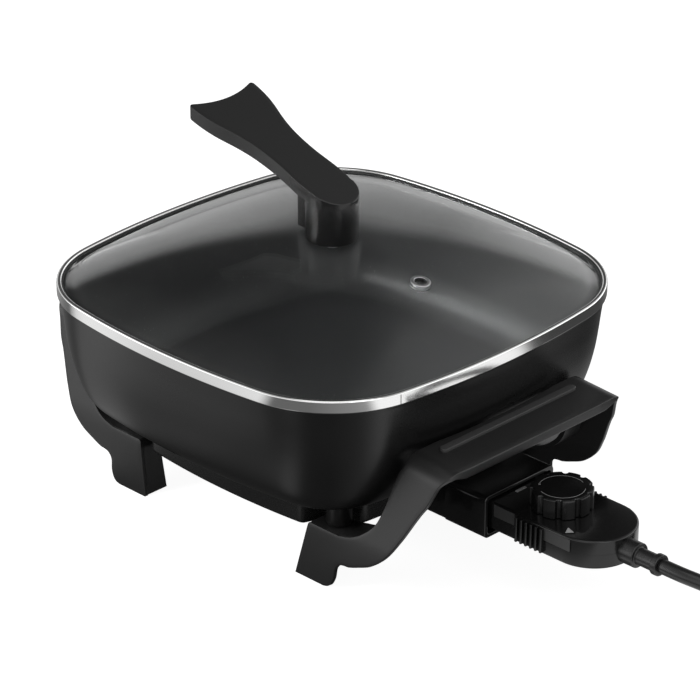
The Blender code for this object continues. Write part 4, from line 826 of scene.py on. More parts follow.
def makeHandle(h):
    # paddle: stations from the tail to the nose; each is a loop over the top, round one side, under, and back
    r, e, u, thick = h["tailCorner"], h["edge"], h["underEdge"], h["thickness"]
    s, c = quarter(10)
    corner = columns(-h["length"] + r * (1 - c), h["tailHalf"] - r * (1 - s))[:-1]
    table = np.array(h["widths"]) * (-mm, mm)
    table = curveThrough(np.vstack([[(-h["length"] + r, h["tailHalf"])], table]), 6)
    turn = np.linspace(0.0, 0.49 * math.pi, 25)[1:]
    plan = np.vstack([corner, table, h["post"] * columns(np.sin(turn), np.cos(turn))])
    out = -sideways(plan)
    out[0] = (-1.0, 0.0)
    x, half, nx, ny = (v[:, None] for v in (*plan.T, *out.T))
    bow = h["bow"] * smoothStep((-x / h["length"] - h["bowStart"]) / (1 - h["bowStart"]))
    s, c = quarter(7)
    n, one, none, flat = len(s), np.ones(len(s)), np.zeros(len(s)), np.linspace(1, -1, 15)[1:-1]
    # rows of a loop: its side, its insets by edge and underEdge, its depths by edge, thickness and underEdge
    up = np.stack([one, 1 - s, none, 1 - c, none, none])
    low = np.stack([one, none, 1 - c, none, one, s - 1])
    under = np.vstack([flat, np.outer((0, 1, 0, 1, 0), np.ones(len(flat)))])
    over = np.vstack([-flat, np.outer((1, 0, 0, 0, 0), np.ones(len(flat)))])
    mirror = np.array((-1, 1, 1, 1, 1, 1))[:, None]
    side, i0, i1, d0, d1, d2 = np.concatenate(
        [up, low, under, (low * mirror)[:, ::-1], (up * mirror)[:, ::-1], over], axis=1)[:, None, :]
    inset = i0 * e + i1 * u
    py, px = side * np.maximum(half - ny * inset, 0.0), x - nx * inset
    depth = np.broadcast_to(d0 * e + d1 * thick + d2 * u, px.shape)
    # the tail's end face: the first loop's points are pushed out to it round the soft edges
    s, c = s[1:, None], c[1:, None]
    upper = depth[:1] < thick / 2
    endX = np.minimum(px[:1], -h["length"] + np.where(upper, e, u) * (1 - s))
    endDepth = np.where(upper, np.maximum(depth[:1], e * (1 - c)), np.minimum(depth[:1], thick - u * (1 - c)))
    px, py, depth, bow = (np.vstack([end, rest]) for end, rest in (
        (endX[::-1], px), (np.repeat(py[:1], len(s), axis=0), py), (endDepth[::-1], depth),
        (np.repeat(bow[:1], len(s), axis=0), bow)))
    px = px + bow * (1 - (py / h["tailHalf"]) ** 2)
    points = columns(px, py, paddleTop(px) - depth)
    rows, cols = points.shape[:2]
    # faces: the skin, the nose's cap, and quads and two side strips over the end
    faces = gridFaces(rows, cols)
    faces.append(list(range((rows - 1) * cols, rows * cols)))
    top, low = np.arange(cols - len(flat), cols), np.arange(2 * n, 2 * n + len(flat))[::-1]
    faces += [[int(p), int(q), int(v), int(w)] for p, q, v, w in zip(top, top[1:], low[1:], low)]
    faces.append(list(range(0, 2 * n + 1)) + [cols - 1])
    faces.append(list(range(2 * n + len(flat) - 1, cols - len(flat) + 1)))
    # post and strut: a round and a square bar, soft at the foot, up into the paddle
    seat, foot = domeTop + 2 * h["gap"] + h["sealThick"], glassHeight(h["strutBack"] - h["strutThick"]) + h["strutRise"]
    ring = circle(h["post"] - h["postClear"], 72)
    wide, back = h["strutHalf"], -h["strutBack"]
    bar = roundedBox(-wide, wide, back, back + h["strutThick"], (h["strutEdge"],) * 4, 6)[:, ::-1]
    skins = [(points.reshape(-1, 3), faces)]
    for plan, z, soft in ((ring, seat, h["postSoft"]), (bar, foot, h["strutSoft"])):
        levels = [(scale, z + rise * mm) for scale, rise in soft]
        skins.append(grid(softBox(plan, levels + [(1.0, paddleTop(plan[:, 0]) - h["rooted"])])))
    looks["handle"] = lidHandlePlastic(paddleTop(0.0), h["slope"], *h["polished"])
    piece("lidHandle", skins, "handle", "lid", "handle", "lid_handle", merge=True)


makeHandle(handle)
print("lid made")


# pan: cast square bowl, its outside satin, its inside non-stick

pan = dict(
    millimetres(
        top=137.2, topInset=1.6, wall=3.0, underside=58.6, floor=6.0, taper=26.0, cornerReach=30.0, lip=0.7,
        bossX=90.0, bossY=84.0, bossRadius=8.25, bossFoot=37.2, bossFlare=0.4, bossSoft=0.6, bossMiddle=1.0,
        postY=34.0, postRadius=5.0, postFoot=32.3, postRoot=2.0, postSoft=0.5,
    ),
    outside=(  # share of the depth, share of the taper
        (0.0, 0.0), (0.133, 0.065), (0.288, 0.123), (0.444, 0.192), (0.586, 0.292),
        (0.728, 0.431), (0.845, 0.585), (0.935, 0.77), (0.985, 0.94), (1.0, 1.08),
    ),
    inside=((0.0, 0.0), (0.31, 0.12), (0.62, 0.30), (0.78, 0.45), (0.88, 0.61), (0.95, 0.80), (0.99, 1.0), (1.0, 1.2)),
    floorInsets=(50, 80, 110, 135), cornerLoss=1.3, rings=8,
)


def panSection(p):
    # (inset, height) from the middle of the underside out, up the wall, over the lip, and down and in on the inside
    top, depth, lip = p["top"], p["top"] - p["underside"], p["lip"]
    edge, inner = p["topInset"], p["topInset"] + p["wall"]
    walls = []
    for shares, start, deep in ((p["outside"], edge, depth), (p["inside"], inner, depth - p["floor"])):
        wall = curveThrough(shares, p["rings"])
        wall = columns(start + wall[:, 1] * p["taper"], top - np.clip(wall[:, 0], 0, 1) * deep)
        walls.append(wall[wall[:, 1] < top - lip])
    s, c = quarter(6)
    rimOut, rimIn = (columns(start + way * lip * (1 - c), top - lip * (1 - s))
                     for start, way in ((edge, 1), (inner, -1)))
    under, floor = ([(inset * mm, p["underside"] + up) for inset in p["floorInsets"]] for up in (0.0, p["floor"]))
    return np.vstack([under[::-1], walls[0][::-1], rimOut, rimIn[::-1], walls[1], floor])


def panRings(p, section):
    # corner radii shrink faster than the insets on the wall, then evenly towards the middle
    inset, half, reach = section[:, 0], rim["half"], p["cornerReach"]
    scale = np.clip((half - inset) / (half - reach), 0, 1)
    corner = half * rim["roundness"] - p["cornerLoss"] * np.minimum(inset, reach)
    corner = np.where(inset > reach, corner * scale, corner)
    side = np.where(inset > reach, (half * rim["flatness"] - reach) * scale, half * rim["flatness"] - inset)
    return rings(roundedSquares(half - inset, side, corner), section[:, 1])


def makePan(p):
    section = panSection(p)
    points = panRings(p, section)
    made = piece("panBody", [grid(points)], "pan", "base", "pan", "pan_body")
    # the non-stick look starts at the last ring on the lip's top
    perRing, lastOut = points.shape[1], np.flatnonzero(section[:, 1] > p["top"] - 0.001 * mm)[-1]
    marked = np.zeros(len(made.data.polygons))
    marked[lastOut * perRing:(len(section) - 1) * perRing] = 1
    marked[-1] = 1
    secondLook(made, "inside", marked)


makePan(pan)


def makeBosses(p):
    # turned pegs under the pan: four that carry the legs, two that carry the cover
    skins = []
    kinds = (("boss", (-p["bossX"], p["bossX"]), p["floor"] / 2, p["bossFlare"], 6, 48),
             ("post", (0.0,), p["postRoot"], 0.0, 5, 32))
    for kind, xs, deep, flare, steps, count in kinds:
        away, radius, foot, soft = (p[kind + part] for part in ("Y", "Radius", "Foot", "Soft"))
        line = [(foot, p["bossMiddle"]), (foot, radius), (p["underside"] + deep, radius + flare)]
        profile = roundedLine(line, (soft,), steps)
        skins += [grid(turned(profile, count, "z", (x, y, 0))) for x in xs for y in (-away, away)]
    piece("panBosses", skins, "pan", "base", "pan")


makeBosses(pan)


# heater cover: pressed dish under the pan with a hollow corner round each boss

cover = dict(millimetres(half=99.5, start=69.5, cove=28.5, edge=3.0, bottom=30.4, top=58.3, corner=7.0), points=640)


def coverPlan(c):
    # a quarter is a side arc and the cove round a boss, where the circle through both sides' ends bends in
    sideRadius = rim["half"] * rim["flatness"]
    centre = sideRadius - c["half"]
    across = math.sqrt(sideRadius ** 2 - c["start"] ** 2) - centre
    middle, halfChord = (c["start"] + across) / 2, (across - c["start"]) * math.sqrt(0.5)
    cove = middle + math.sqrt(c["cove"] ** 2 - halfChord ** 2) * math.sqrt(0.5)
    first, last = (math.atan2(v - cove, u - cove) % (2 * math.pi)
                   for u, v in ((c["start"], across), (across, c["start"])))
    edge = math.atan2(across + centre, c["start"])
    a, b = np.linspace(math.pi - edge, edge, 60), np.linspace(first, last, 24)[1:-1]
    x, y = np.vstack([columns(sideRadius * np.cos(a), sideRadius * np.sin(a) - centre),
                      cove + c["cove"] * columns(np.cos(b), np.sin(b))]).T
    whole = np.vstack([columns(x * u - y * v, x * v + y * u) for u, v in quarterTurns])
    plan = evenly(np.vstack([whole, whole[:1]]), c["points"] + 1)[:-1]
    # corners rounded by a running mean along the line, as wide as the corner
    reach = int(c["corner"] / float(np.linalg.norm(plan[1] - plan[0])))
    kernel = np.hanning(2 * reach + 3)[1:-1]
    kernel /= kernel.sum()
    looped = np.vstack([plan[-reach:], plan, plan[:reach]])
    return columns(*(np.convolve(values, kernel, "valid") for values in looped.T))


def insetPlan(plan, inset):
    inward = sideways(plan, closed=True)
    if np.sum(inward * plan) > 0:
        inward = -inward
    return plan + inward * inset


def makeCover(c):
    plan = coverPlan(c)
    levels = [(c["edge"] * (1 - s), c["bottom"] + c["edge"] * (1 - k)) for s, k in zip(*quarter(7))]
    levels.append((0.0, c["top"]))
    rows = rings(np.array([insetPlan(plan, inset) for inset, z in levels]), [z for inset, z in levels])
    piece("heaterCover", [grid(rows)], "cover", "base", "cover", "heater_cover")


makeCover(cover)
print("pan and heater cover made")


# socket housing: neck under the pan, then the box whose mouth takes the heat control

socket = millimetres(
    start=99.8, step=129.0, back=131.0, mouth=163.0, half=31.2, low=31.8, high=60.7, wall=2.6, corner=3.4,
    neckInset=0.4, neckHigh=58.3, soft=0.7, mouthSoft=0.4,
)


def boxRing(x, half, low, high, corner, steps=8):
    # rounded rectangle across the x axis
    corner = max(corner, 0.05 * mm)
    out = []
    for k, (sy, sz) in enumerate(((1, 1), (-1, 1), (-1, -1), (1, -1))):
        cy, cz = sy * (half - corner), (high - corner) if sz > 0 else (low + corner)
        turn = np.linspace(0, math.pi / 2, steps + 1) + k * math.pi / 2
        out.append(columns(x, cy + corner * np.cos(turn), cz + corner * np.sin(turn)))
    return np.concatenate(out)


def makeSocket(s):
    # rings along x: the neck, the box with soft edges, its mouth's rolled edge and the back wall inside
    soft, lip, wall, corner, inset = s["soft"], s["mouthSoft"], s["wall"], s["corner"], s["neckInset"]
    inner = corner - wall / 2
    turns = list(zip(*quarter(5)))
    steps = [(s["step"] + soft * (1 - v), soft * (1 - u), None) for u, v in turns]
    steps += [(s["mouth"] - soft * (1 - u), soft * (1 - v), None) for u, v in turns]
    steps += [(s["mouth"] - lip * (1 - v), wall - lip * (1 - u), inner) for u, v in turns]
    steps.append((s["back"], wall, inner))
    rows = [boxRing(x, s["half"] - inset, s["low"] + inset, s["neckHigh"], corner) for x in (s["start"], s["step"])]
    rows += [boxRing(x, s["half"] - i, s["low"] + i, s["high"] - i, corner - i if bend is None else bend)
             for x, i, bend in steps]
    piece("socketHousing", [grid(np.array(rows))], "socket", "base", "control", "socket_housing")


makeSocket(socket)


# handle legs: one bent sheet each, from the front foot over the shelf to the rear foot

leg = dict(
    millimetres(
        reach=177.0, shelf=94.6, footTop=36.9, footTopX=76.5, footInnerX=68.7, thickness=3.0, edge=0.5,
        underEdge=0.5, raised=3.3, lift=2.4, clearance=1.2, footSoft=2.0, shelfEase=14.0, flangeThick=3.0,
        flangeDepth=24.0, flangeRoot=1.5, flangeLow=0.3, setback=0.2, ribX=152.6, ribHalf=61.8, ribWide=2.6,
        ribRise=2.0, ribEdge=0.45, ribRoot=1.0, panGap=2.0, stretch=(52.0, 87.0),
        innerTies=(77.5, 104.0), outerTies=(102.2, 121.0),  # x of places that face each other
    ),
    side=((-101.5, 0.0), (-97.7, 36.9), (-79.9, 94.6), (79.9, 94.6), (97.7, 36.9), (101.5, 0.0)),
    bends=(60.0, 13.0, 13.0, 60.0), stations=241,
    inner=((74.5, 0.0), (64.8, 0.043), (56.5, 0.124), (48.1, 0.270), (43.7, 0.452), (41.4, 0.634), (38.8, 0.790),
           (35.4, 0.918)),
    outer=(
        (83.2, 0.0), (80.0, 0.010), (77.5, 0.034), (75.6, 0.082), (75.0, 0.142), (73.8, 0.170), (71.3, 0.193),
        (67.8, 0.203), (63.7, 0.208), (56.3, 0.236), (45.1, 0.290), (34.5, 0.392), (25.5, 0.543), (16.6, 0.705),
        (11.9, 0.781), (7.3, 0.894), (2.7, 0.965), (0.9, 0.990),
    ),
    flange=(0.80, 0.66, 1.0, 0.96, 0.90, 0.82, 0.70, 0.58, 0.48, 0.40),
)


def legSide(g):
    # the legs' outer face seen from the side, as (y, z) with the run along it and its inward normal
    line = evenly(roundedLine(np.array(g["side"]) * mm, np.array(g["bends"]) * mm, 24), 1601)
    return line, runOf(line), sideways(line)


sideLine, sideRun, sideInward = legSide(leg)
sideLength = sideRun[-1]


def runAt(height):
    # how far along the side line the front leg reaches a height
    z, run = sideLine[:, 1], sideRun
    front = run < sideLength / 2
    top = np.argmax(z[front] > leg["shelf"] - 0.02 * mm)
    return np.interp(height, z[:top + 1], run[:top + 1])


shelfStart = float(runAt(leg["shelf"]))


def shelfInnerX(y):
    # just clear of the barrel-sided pan at the shelf's height
    height = leg["shelf"] + leg["raised"] + leg["lift"] + leg["panGap"]
    depth = (pan["top"] - height) / (pan["top"] - pan["underside"])
    table = np.array(pan["outside"])
    inset = pan["topInset"] + float(np.interp(depth, table[:, 0], table[:, 1])) * pan["taper"]
    side = rim["half"] * rim["flatness"] - inset
    return np.sqrt(side ** 2 - y ** 2) - (rim["half"] * rim["flatness"] - rim["half"]) + leg["clearance"]


def legPoint(x, run, depth):
    # a point of the flat outline at (x, run), bent over the side line; the shelf slopes up inwards, so the legs
    # are stretched along their own straight part until they meet it
    g = leg
    run = np.clip(run, 0, sideLength)
    y, z, iy, iz = (np.interp(run, sideRun, line[:, k]) for line in (sideLine, sideInward) for k in range(2))
    near = np.minimum(run, sideLength - run)
    high = g["raised"] + g["lift"] * np.clip((g["reach"] - x) / (g["reach"] - shelfInnerX(0.0)), 0, 1.3)
    lean = (g["side"][2][0] - g["side"][1][0]) / (g["side"][2][1] - g["side"][1][1])
    low, full = (runAt(height) for height in g["stretch"])
    stretch = np.clip((near - low) / (full - low), 0, 1)
    bend = g["bends"][1] * mm
    over = np.clip((sideLength / 2 - near) / (sideLength / 2 - shelfStart - bend), 0, 1)
    y = y + np.sign(sideLength / 2 - run) * high * lean * np.minimum(stretch, over)
    deep = np.clip((near - shelfStart) / bend + 0.5, 0, 1)
    depth = depth * np.where(depth > 0, 1 + deep * g["raised"] / g["thickness"], 1)
    return columns(x, y + iy * depth, np.maximum(z + iz * depth + high * stretch, 0.0))


def legOutlines(g):
    # inner and outer edge of the front half as (x, run), from the foot to the middle of the shelf
    reach, rise, footRun = g["reach"], g["shelf"] - g["footTop"], float(runAt(g["footTop"]))
    foot = roundedLine([(g["footInnerX"], 0.0), (g["footTopX"], footRun), (reach - g["inner"][0][0] * mm, footRun)],
                       (g["footSoft"],), 8)
    arch = [(reach - inset * mm, float(runAt(g["footTop"] + share * rise))) for inset, share in g["inner"]]
    y = np.linspace(g["side"][2][0] * mm, 0.0, 17)
    order = np.argsort(sideLine[:, 0])
    shelf = columns(shelfInnerX(y), np.interp(y, sideLine[order, 0], sideRun[order]))
    shelf = shelf[shelf[:, 1] > shelfStart + g["shelfEase"]]
    inner = np.vstack([foot[:-1], curveThrough(np.vstack([arch, shelf]), 6)])
    outer = [(reach - inset * mm, float(runAt(share * g["shelf"]))) for inset, share in g["outer"]]
    outer.append((reach, shelfStart + g["bends"][1] * mm))
    return inner, np.vstack([curveThrough(outer, 6), [(reach, sideLength / 2)]])


def paired(edge, places, count):
    # points along an edge by arc length, tied at the foot's top, at the arch and where the shelf starts
    run = runOf(edge)
    ties = [0.0, *(run[np.argmin(np.abs(edge[:, 0] - x))] for x in places), run[np.argmax(edge[:, 1] > shelfStart)],
            run[-1]]
    at = np.interp(np.linspace(0, 4, count), range(5), ties)
    return columns(*(np.interp(at, run, values) for values in edge.T))


def edgeLoop(g, across=9):
    # the sheet's section: (share of the width, inset from that edge, depth)
    e, u, t = g["edge"], g["underEdge"], g["thickness"]
    flat = np.linspace(0, 1, across)[1:-1]
    turns = list(zip(*quarter(5)))
    rows = [(0.0, e * (1 - s), e * (1 - c)) for s, c in turns]
    rows += [(0.0, u * (1 - c), t - u * (1 - s)) for s, c in turns]
    rows += [(f, 0.0, t) for f in flat]
    rows += [(1.0, -u * (1 - c), t - u * (1 - s)) for s, c in turns[::-1]]
    rows += [(1.0, -e * (1 - s), e * (1 - c)) for s, c in turns[::-1]]
    rows += [(f, 0.0, 0.0) for f in flat[::-1]]
    return np.array(rows)


def sheetSkin(g):
    # the bent sheet: the flat outline's front half and its mirror image, with the section across it
    halves = (paired(edge, ties, g["stations"]) for edge, ties in zip(legOutlines(g), (g["innerTies"], g["outerTies"])))
    inner, outer = (np.vstack([half, half[-2::-1] * (1, -1) + (0, sideLength)]) for half in halves)
    wide, loop = outer - inner, edgeLoop(g)[None]
    flat = inner[:, None] + wide[:, None] * loop[..., :1] + unit(wide)[:, None] * loop[..., 1:2]
    return grid(legPoint(flat[..., 0], flat[..., 1], loop[..., 2]))


def flangeSkins(g):
    # the walls that stand in from the legs' inner edges
    rise = g["shelf"] - g["footTop"]
    edge = np.array([(g["footInnerX"], 0.0), (g["footTopX"], g["footTop"])] + [
        (g["reach"] - inset * mm, g["footTop"] + share * rise) for inset, share in g["inner"]])
    fine = np.vstack([roundedLine(edge[:3], (g["footSoft"],), 6)[:-1], curveThrough(edge[2:], 5)])
    depth = np.interp(runOf(fine), runOf(edge), g["flange"]) * g["flangeDepth"]
    front = sideLine[:400]
    skins = []
    for side in (-1, 1):
        cols = []
        for out, deep in ((0, 0), (1, 0), (1, 1), (0, 1)):
            p = fine + sideways(fine) * (g["setback"] + out * g["flangeThick"])
            z = np.maximum(p[:, 1], g["flangeLow"])
            y = -np.interp(z, front[:, 1], front[:, 0]) - (depth if deep else g["flangeRoot"])
            cols.append(columns(p[:, 0], side * y, z))
        skins.append(grid(np.stack(cols, axis=1)))
    return skins


def ribSkin(g):
    # grip rib: a raised strip on the shelf with crisp edges, its ends rounded in plan
    wide, long, e = g["ribWide"], g["ribHalf"], g["ribEdge"]
    plan = evenly(np.vstack([roundedBox(-wide, wide, -long, long, (wide * 0.98,) * 4, 8), [(0.0, -long)]]), 321)[:-1]
    levels = [(0.0, g["ribRoot"])] + [(e * (1 - c), e * (1 - s) - g["ribRise"]) for s, c in zip(*quarter(5))]
    levels.append((wide * 0.97, -g["ribRise"]))
    return grid(np.array([
        legPoint(q[:, 0] + g["ribX"], q[:, 1] + sideLength / 2, np.full(len(q), depth))
        for q, depth in ((insetPlan(plan, inset), depth) for inset, depth in levels)]))


def makeLegs(g):
    skins = [sheetSkin(g), *flangeSkins(g), ribSkin(g)]
    ribFaces = len(skins[-1][1])
    for name, node, flip in (("handleLegRight", "handle_leg_right", 1.0), ("handleLegLeft", "handle_leg_left", -1.0)):
        made = piece(name, [(p * (flip, 1.0, 1.0), f) for p, f in skins], "leg", "base", "leg", node)
        marked = np.zeros(len(made.data.polygons))
        marked[-ribFaces:] = 1
        secondLook(made, "grip", marked)


makeLegs(leg)
print("socket and handle legs made")


# heat control: two shells, ribs, lens, dial

control = dict(
    millimetres(
        front=133.0, step=184.6, neckInset=0.8, half=27.8, round=223.0, top=57.2, bottom=38.2, wall=2.0, edge=1.4,
        corner=4.0, ribStart=186.2, ribPitch=4.0, ribWidth=1.9, ribProud=2.7, ribRound=0.9, parting=47.7, groove=0.05,
        gap=0.05, stepRun=0.4, neckRound=0.3, stepRound=0.5, leastCorner=0.2,
    ),
    ribs=6, ribSoft=((1.0, 0.5), (0.9, 0.1), (0.75, 0.0)),  # (scale, mm below the rib's end)
)


def controlPlan(inset):
    # plan of the body: square neck with small corners, a step, the wider body and its half-round end
    c = control
    neck, half, front = c["half"] - c["neckInset"] - inset, c["half"] - inset, c["front"] + inset
    corner, step = c["corner"] - min(inset, c["corner"] - c["leastCorner"]), c["step"] + inset
    corners = [(front, 0.0), (front, -neck), (step, -neck), (step + c["stepRun"], -half), (c["round"], -half)]
    line = roundedLine(corners, (corner, c["neckRound"], c["stepRound"]), 8)
    a = np.linspace(-math.pi / 2, math.pi / 2, 61)
    end = columns(c["round"] + half * np.cos(a), half * np.sin(a))
    mirrored = line[::-1][1:-1] * (1, -1)
    return np.vstack([line[:-1], end, mirrored])


def shellSkin(c, top, up):
    # a shell from inside its wall at the parting line, out past a fine groove, to its soft outer edge
    start = c["parting"] + up * c["gap"] / 2
    wall, groove = c["wall"], c["groove"]
    levels = [(wall, top - up * wall), (wall, start), (groove, start), (0.0, start + up * groove)]
    levels += [(c["edge"] * (1 - k), top - up * c["edge"] * (1 - s)) for s, k in zip(*quarter(7))]
    return grid(rings(np.array([controlPlan(inset) for inset, z in levels]), [z for inset, z in levels]))


def ribSkins(c, low, high, up):
    # each rib is a rounded bar standing on the side wall
    w, e = c["ribWidth"] / 2, c["ribRound"]
    levels = [(1.0, low)] + [(scale, high - up * below * mm) for scale, below in c["ribSoft"]]
    skins = []
    for k in range(c["ribs"]):
        x = c["ribStart"] + k * c["ribPitch"] + w
        plan = roundedBox(x - w, x + w, c["half"] - c["wall"] / 2, c["half"] + c["ribProud"], (0, e, e, 0), 6)
        skins += [grid(softBox(plan * (1, side), levels)) for side in (-1, 1)]
    return skins


def makeControl(c):
    for name, node, up, top in (("controlUpperShell", "control_upper_shell", 1, c["top"]),
                                ("controlLowerShell", "control_lower_shell", -1, c["bottom"])):
        ribs = ribSkins(c, c["parting"] + up * c["gap"] / 2, top - up * c["edge"], up)
        piece(name, [shellSkin(c, top, up)] + ribs, "control", "heat_control", "control", node)


makeControl(control)

reflectionPanels = dict(
    millimetres(low=48.1, high=56.0, sunk=0.3, proud=0.10, corner=0.4, edge=0.05),
    along=((166.6, 183.4, 27.0), (207.2, 229.0, 27.8)),  # (from x, to x, the side wall's own half width)
)


def makePaintedReflections(p):
    # satin panels on the upper shell's sides, before and behind the ribs, paler than the shell: painted reflections of
    # the floor
    skins = []
    for first, last, half in p["along"]:
        plan = roundedBox(p["low"], p["high"], first * mm, last * mm, (p["corner"],) * 4, 4)[:, ::-1]
        for side in (-1, 1):
            rows = [columns(q[:, 0], side * (half * mm + out), q[:, 1]) for q, out in (
                (plan, -p["sunk"]), (plan, p["proud"] * 0.6), (insetPlan(plan, p["edge"]), p["proud"]))]
            skins.append(grid(np.array(rows)))
    piece("controlPaintedReflections", skins, "paintedReflection", "heat_control", "control")


makePaintedReflections(reflectionPanels)

lens = dict(
    millimetres(x=166.3, y=-2.5, width=2.0, length=9.0, proud=0.4, depth=2.4, corner=0.5),
    soft=((1.0, 0.2), (0.95, 0.05), (0.85, 0.0)),  # (scale, mm below the top)
)


def makeLens(v):
    x, y, w, h = v["x"], v["y"], v["width"] / 2, v["length"] / 2
    plan = roundedBox(x - w, x + w, y - h, y + h, (v["corner"],) * 4, 5)
    top = control["top"] + v["proud"]
    levels = [(1.0, top - v["depth"])] + [(scale, top - below * mm) for scale, below in v["soft"]]
    piece("indicatorLens", [grid(softBox(plan, levels))], "lens", "heat_control", "lens", "indicator_lens")


makeLens(lens)

dial = dict(
    millimetres(x=197.5, radius=19.6, low=57.5, top=70.2, edge=0.7, grooveRadius=2.1, rim=3.2, step=0.8, well=0.25,
                inner=2.0, lowEdge=0.3, sideStart=2.0),
    grooves=10,
)


def makeDial(d):
    # polar grid of (radius, height, share of the groove): up the side, over the soft edge and in across the top
    turn = np.linspace(0, 2 * math.pi, 480, endpoint=False)
    period = 2 * math.pi / d["grooves"]
    off = (turn % period - period / 2) * d["radius"]
    groove = np.sqrt(np.maximum(d["grooveRadius"] ** 2 - off ** 2, 0.0))
    r, e, low, top = d["radius"], d["edge"], d["low"], d["top"]
    rows = [(d["inner"], low, 0.0), (r - d["lowEdge"], low, 1.0), (r, low + d["lowEdge"], 1.0)]
    rows += [(r, z, 1.0) for z in np.linspace(low + d["sideStart"], top - 2 * e, 4)]
    rows += [(r - e * (1 - c), top - e * (1 - s), 1.0) for s, c in zip(*quarter(7))]
    rows += [(r - d["rim"], top, 0.0), (r - d["rim"] - d["step"], top - d["well"], 0.0)]
    rows = np.array(rows)
    radius = rows[:, :1] - rows[:, 2:] * groove
    points = columns(d["x"] + radius * np.cos(turn), radius * np.sin(turn), rows[:, 1:2])
    piece("dial", [grid(points)], "dial", "dial", "dial", "dial")


makeDial(dial)

marks = dict(
    millimetres(ring=14.3, ringWidth=0.36, rise=0.05, ringSunk=0.2, sunk=0.3, pointerLong=6.6, pointerWide=5.4,
                soft=0.3, pointer=(221.4, -20.2)),
    gaps=(52.0, 232.0), gapWide=34.0, dots=((-12.2, -7.2, 0.75), (11.0, -13.4, 0.5)),
)


def plate(plan, top):
    # a thin flat plate on a surface, as a print stands on it
    rise = marks["rise"]
    return grid(softBox(plan, ((1.0, top - marks["sunk"]), (1.0, top + rise * 0.6), (0.97, top + rise))))


def makeMarks(m):
    # ring round the dial's top with two gaps, two dots, and the pointer on the body that points at the dial
    top = dial["top"] - dial["well"]
    near, far = m["ring"] - m["ringWidth"] / 2, m["ring"] + m["ringWidth"] / 2
    low, high = top - m["ringSunk"], top + m["rise"]
    skins = []
    for start in m["gaps"]:
        a = np.radians(np.linspace(start + m["gapWide"] / 2, start + 180 - m["gapWide"] / 2, 91))
        ring = np.stack([columns(dial["x"] + r * np.cos(a), r * np.sin(a), z)
                         for r, z in ((near, low), (far, low), (far, high), (near, high))], axis=1)
        skins.append(grid(ring))
    skins += [plate(circle(r * mm, 24) + (dial["x"] + x * mm, y * mm), top) for x, y, r in m["dots"]]
    piece("dialMarks", skins, "mark", "dial", "lens")
    centre = m["pointer"]
    ahead = unit(np.array((dial["x"], 0.0)) - centre)
    side = np.array((-ahead[1], ahead[0])) * m["pointerWide"] / 2
    tip, foot = centre + ahead * m["pointerLong"] / 2, centre - ahead * m["pointerLong"] / 2
    plan = roundedLine([foot, foot - side, tip, foot + side, foot], (m["soft"],) * 3, 4)[:-1]
    piece("controlPointer", [plate(plan, control["top"])], "mark", "heat_control", "lens")


makeMarks(marks)
print("heat control made")


# nodes that keep their own mesh

nodeLooks = {
    "element": ["heating_element"], "ceramic": ["thermostat_unit"], "lens": ["indicator_lamp"],
    "gasket": ["handle_seal"],
    "steel": ["terminal_pin_front", "terminal_pin_rear", "sensor_receptacle", "sensor_rod", "dial_shaft",
              "handle_washer"],
    "brass": ["contact_sleeve_front", "contact_sleeve_rear"],
    "screws": ["handle_screw", "leg_screw_1", "leg_screw_2", "leg_screw_3", "leg_screw_4", "cover_screw_1",
               "cover_screw_2", "socket_screw_1", "socket_screw_2", "control_screw_1", "control_screw_2"],
}
dressed = {node: look for look, nodes in nodeLooks.items() for node in nodes}
for node, look in dressed.items():
    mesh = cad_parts[node].data
    mesh.materials.clear()
    mesh.materials.append(looks[look])
left = [n for n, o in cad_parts.items() if n not in dressed and not o.hide_render]
print("kept nodes dressed:", len(dressed), "not dressed:", left)


# floor, backdrop and light

stage = {
    "size": 8.0, "shade": 0.34, "glow": 0.93,
    # what shiny pieces see of the floor: angle round the pan in degrees, brightness; pale with dark cards on it
    "cards": (
        (-180, 0.30), (-152, 0.12), (-141, 0.90), (-134, 0.84), (-122, 0.68), (-108, 0.72), (-96, 0.84), (-86, 0.13),
        (-60, 0.14), (-30, 0.24), (-22, 0.3), (-15, 1.0), (35, 1.0), (38, 0.05), (70, 0.06), (90, 0.15), (110, 0.42),
        (125, 0.45), (150, 0.36), (180, 0.30),
    ),
    # the same close to the pan, darker in most directions than further out as a painted shadow of the skillet, from
    # where they give way to those further out, and how dark the painted shadow under the pan is
    "nearCardsAndShadow": (
        (-180, 0.20), (-152, 0.12), (-144, 0.48), (-135, 0.48), (-129, 0.20), (-105, 0.30), (-88, 0.22), (-76, 0.30),
        (-71, 0.60), (-66, 0.60), (-61, 0.10), (-45, 0.10), (-28, 0.30), (-15, 1.0), (10, 1.0), (24, 0.70), (45, 0.50),
        (70, 0.35), (100, 0.2), (180, 0.20),
    ),
    "near": 0.20, "far": 0.38, "under": (0.14, 0.19), "underShadowGlow": 0.05,
    # the same painted shadow under the heat control: middle and half length along x, half width across y
    "control": (0.185, 0.085, 0.036),
}


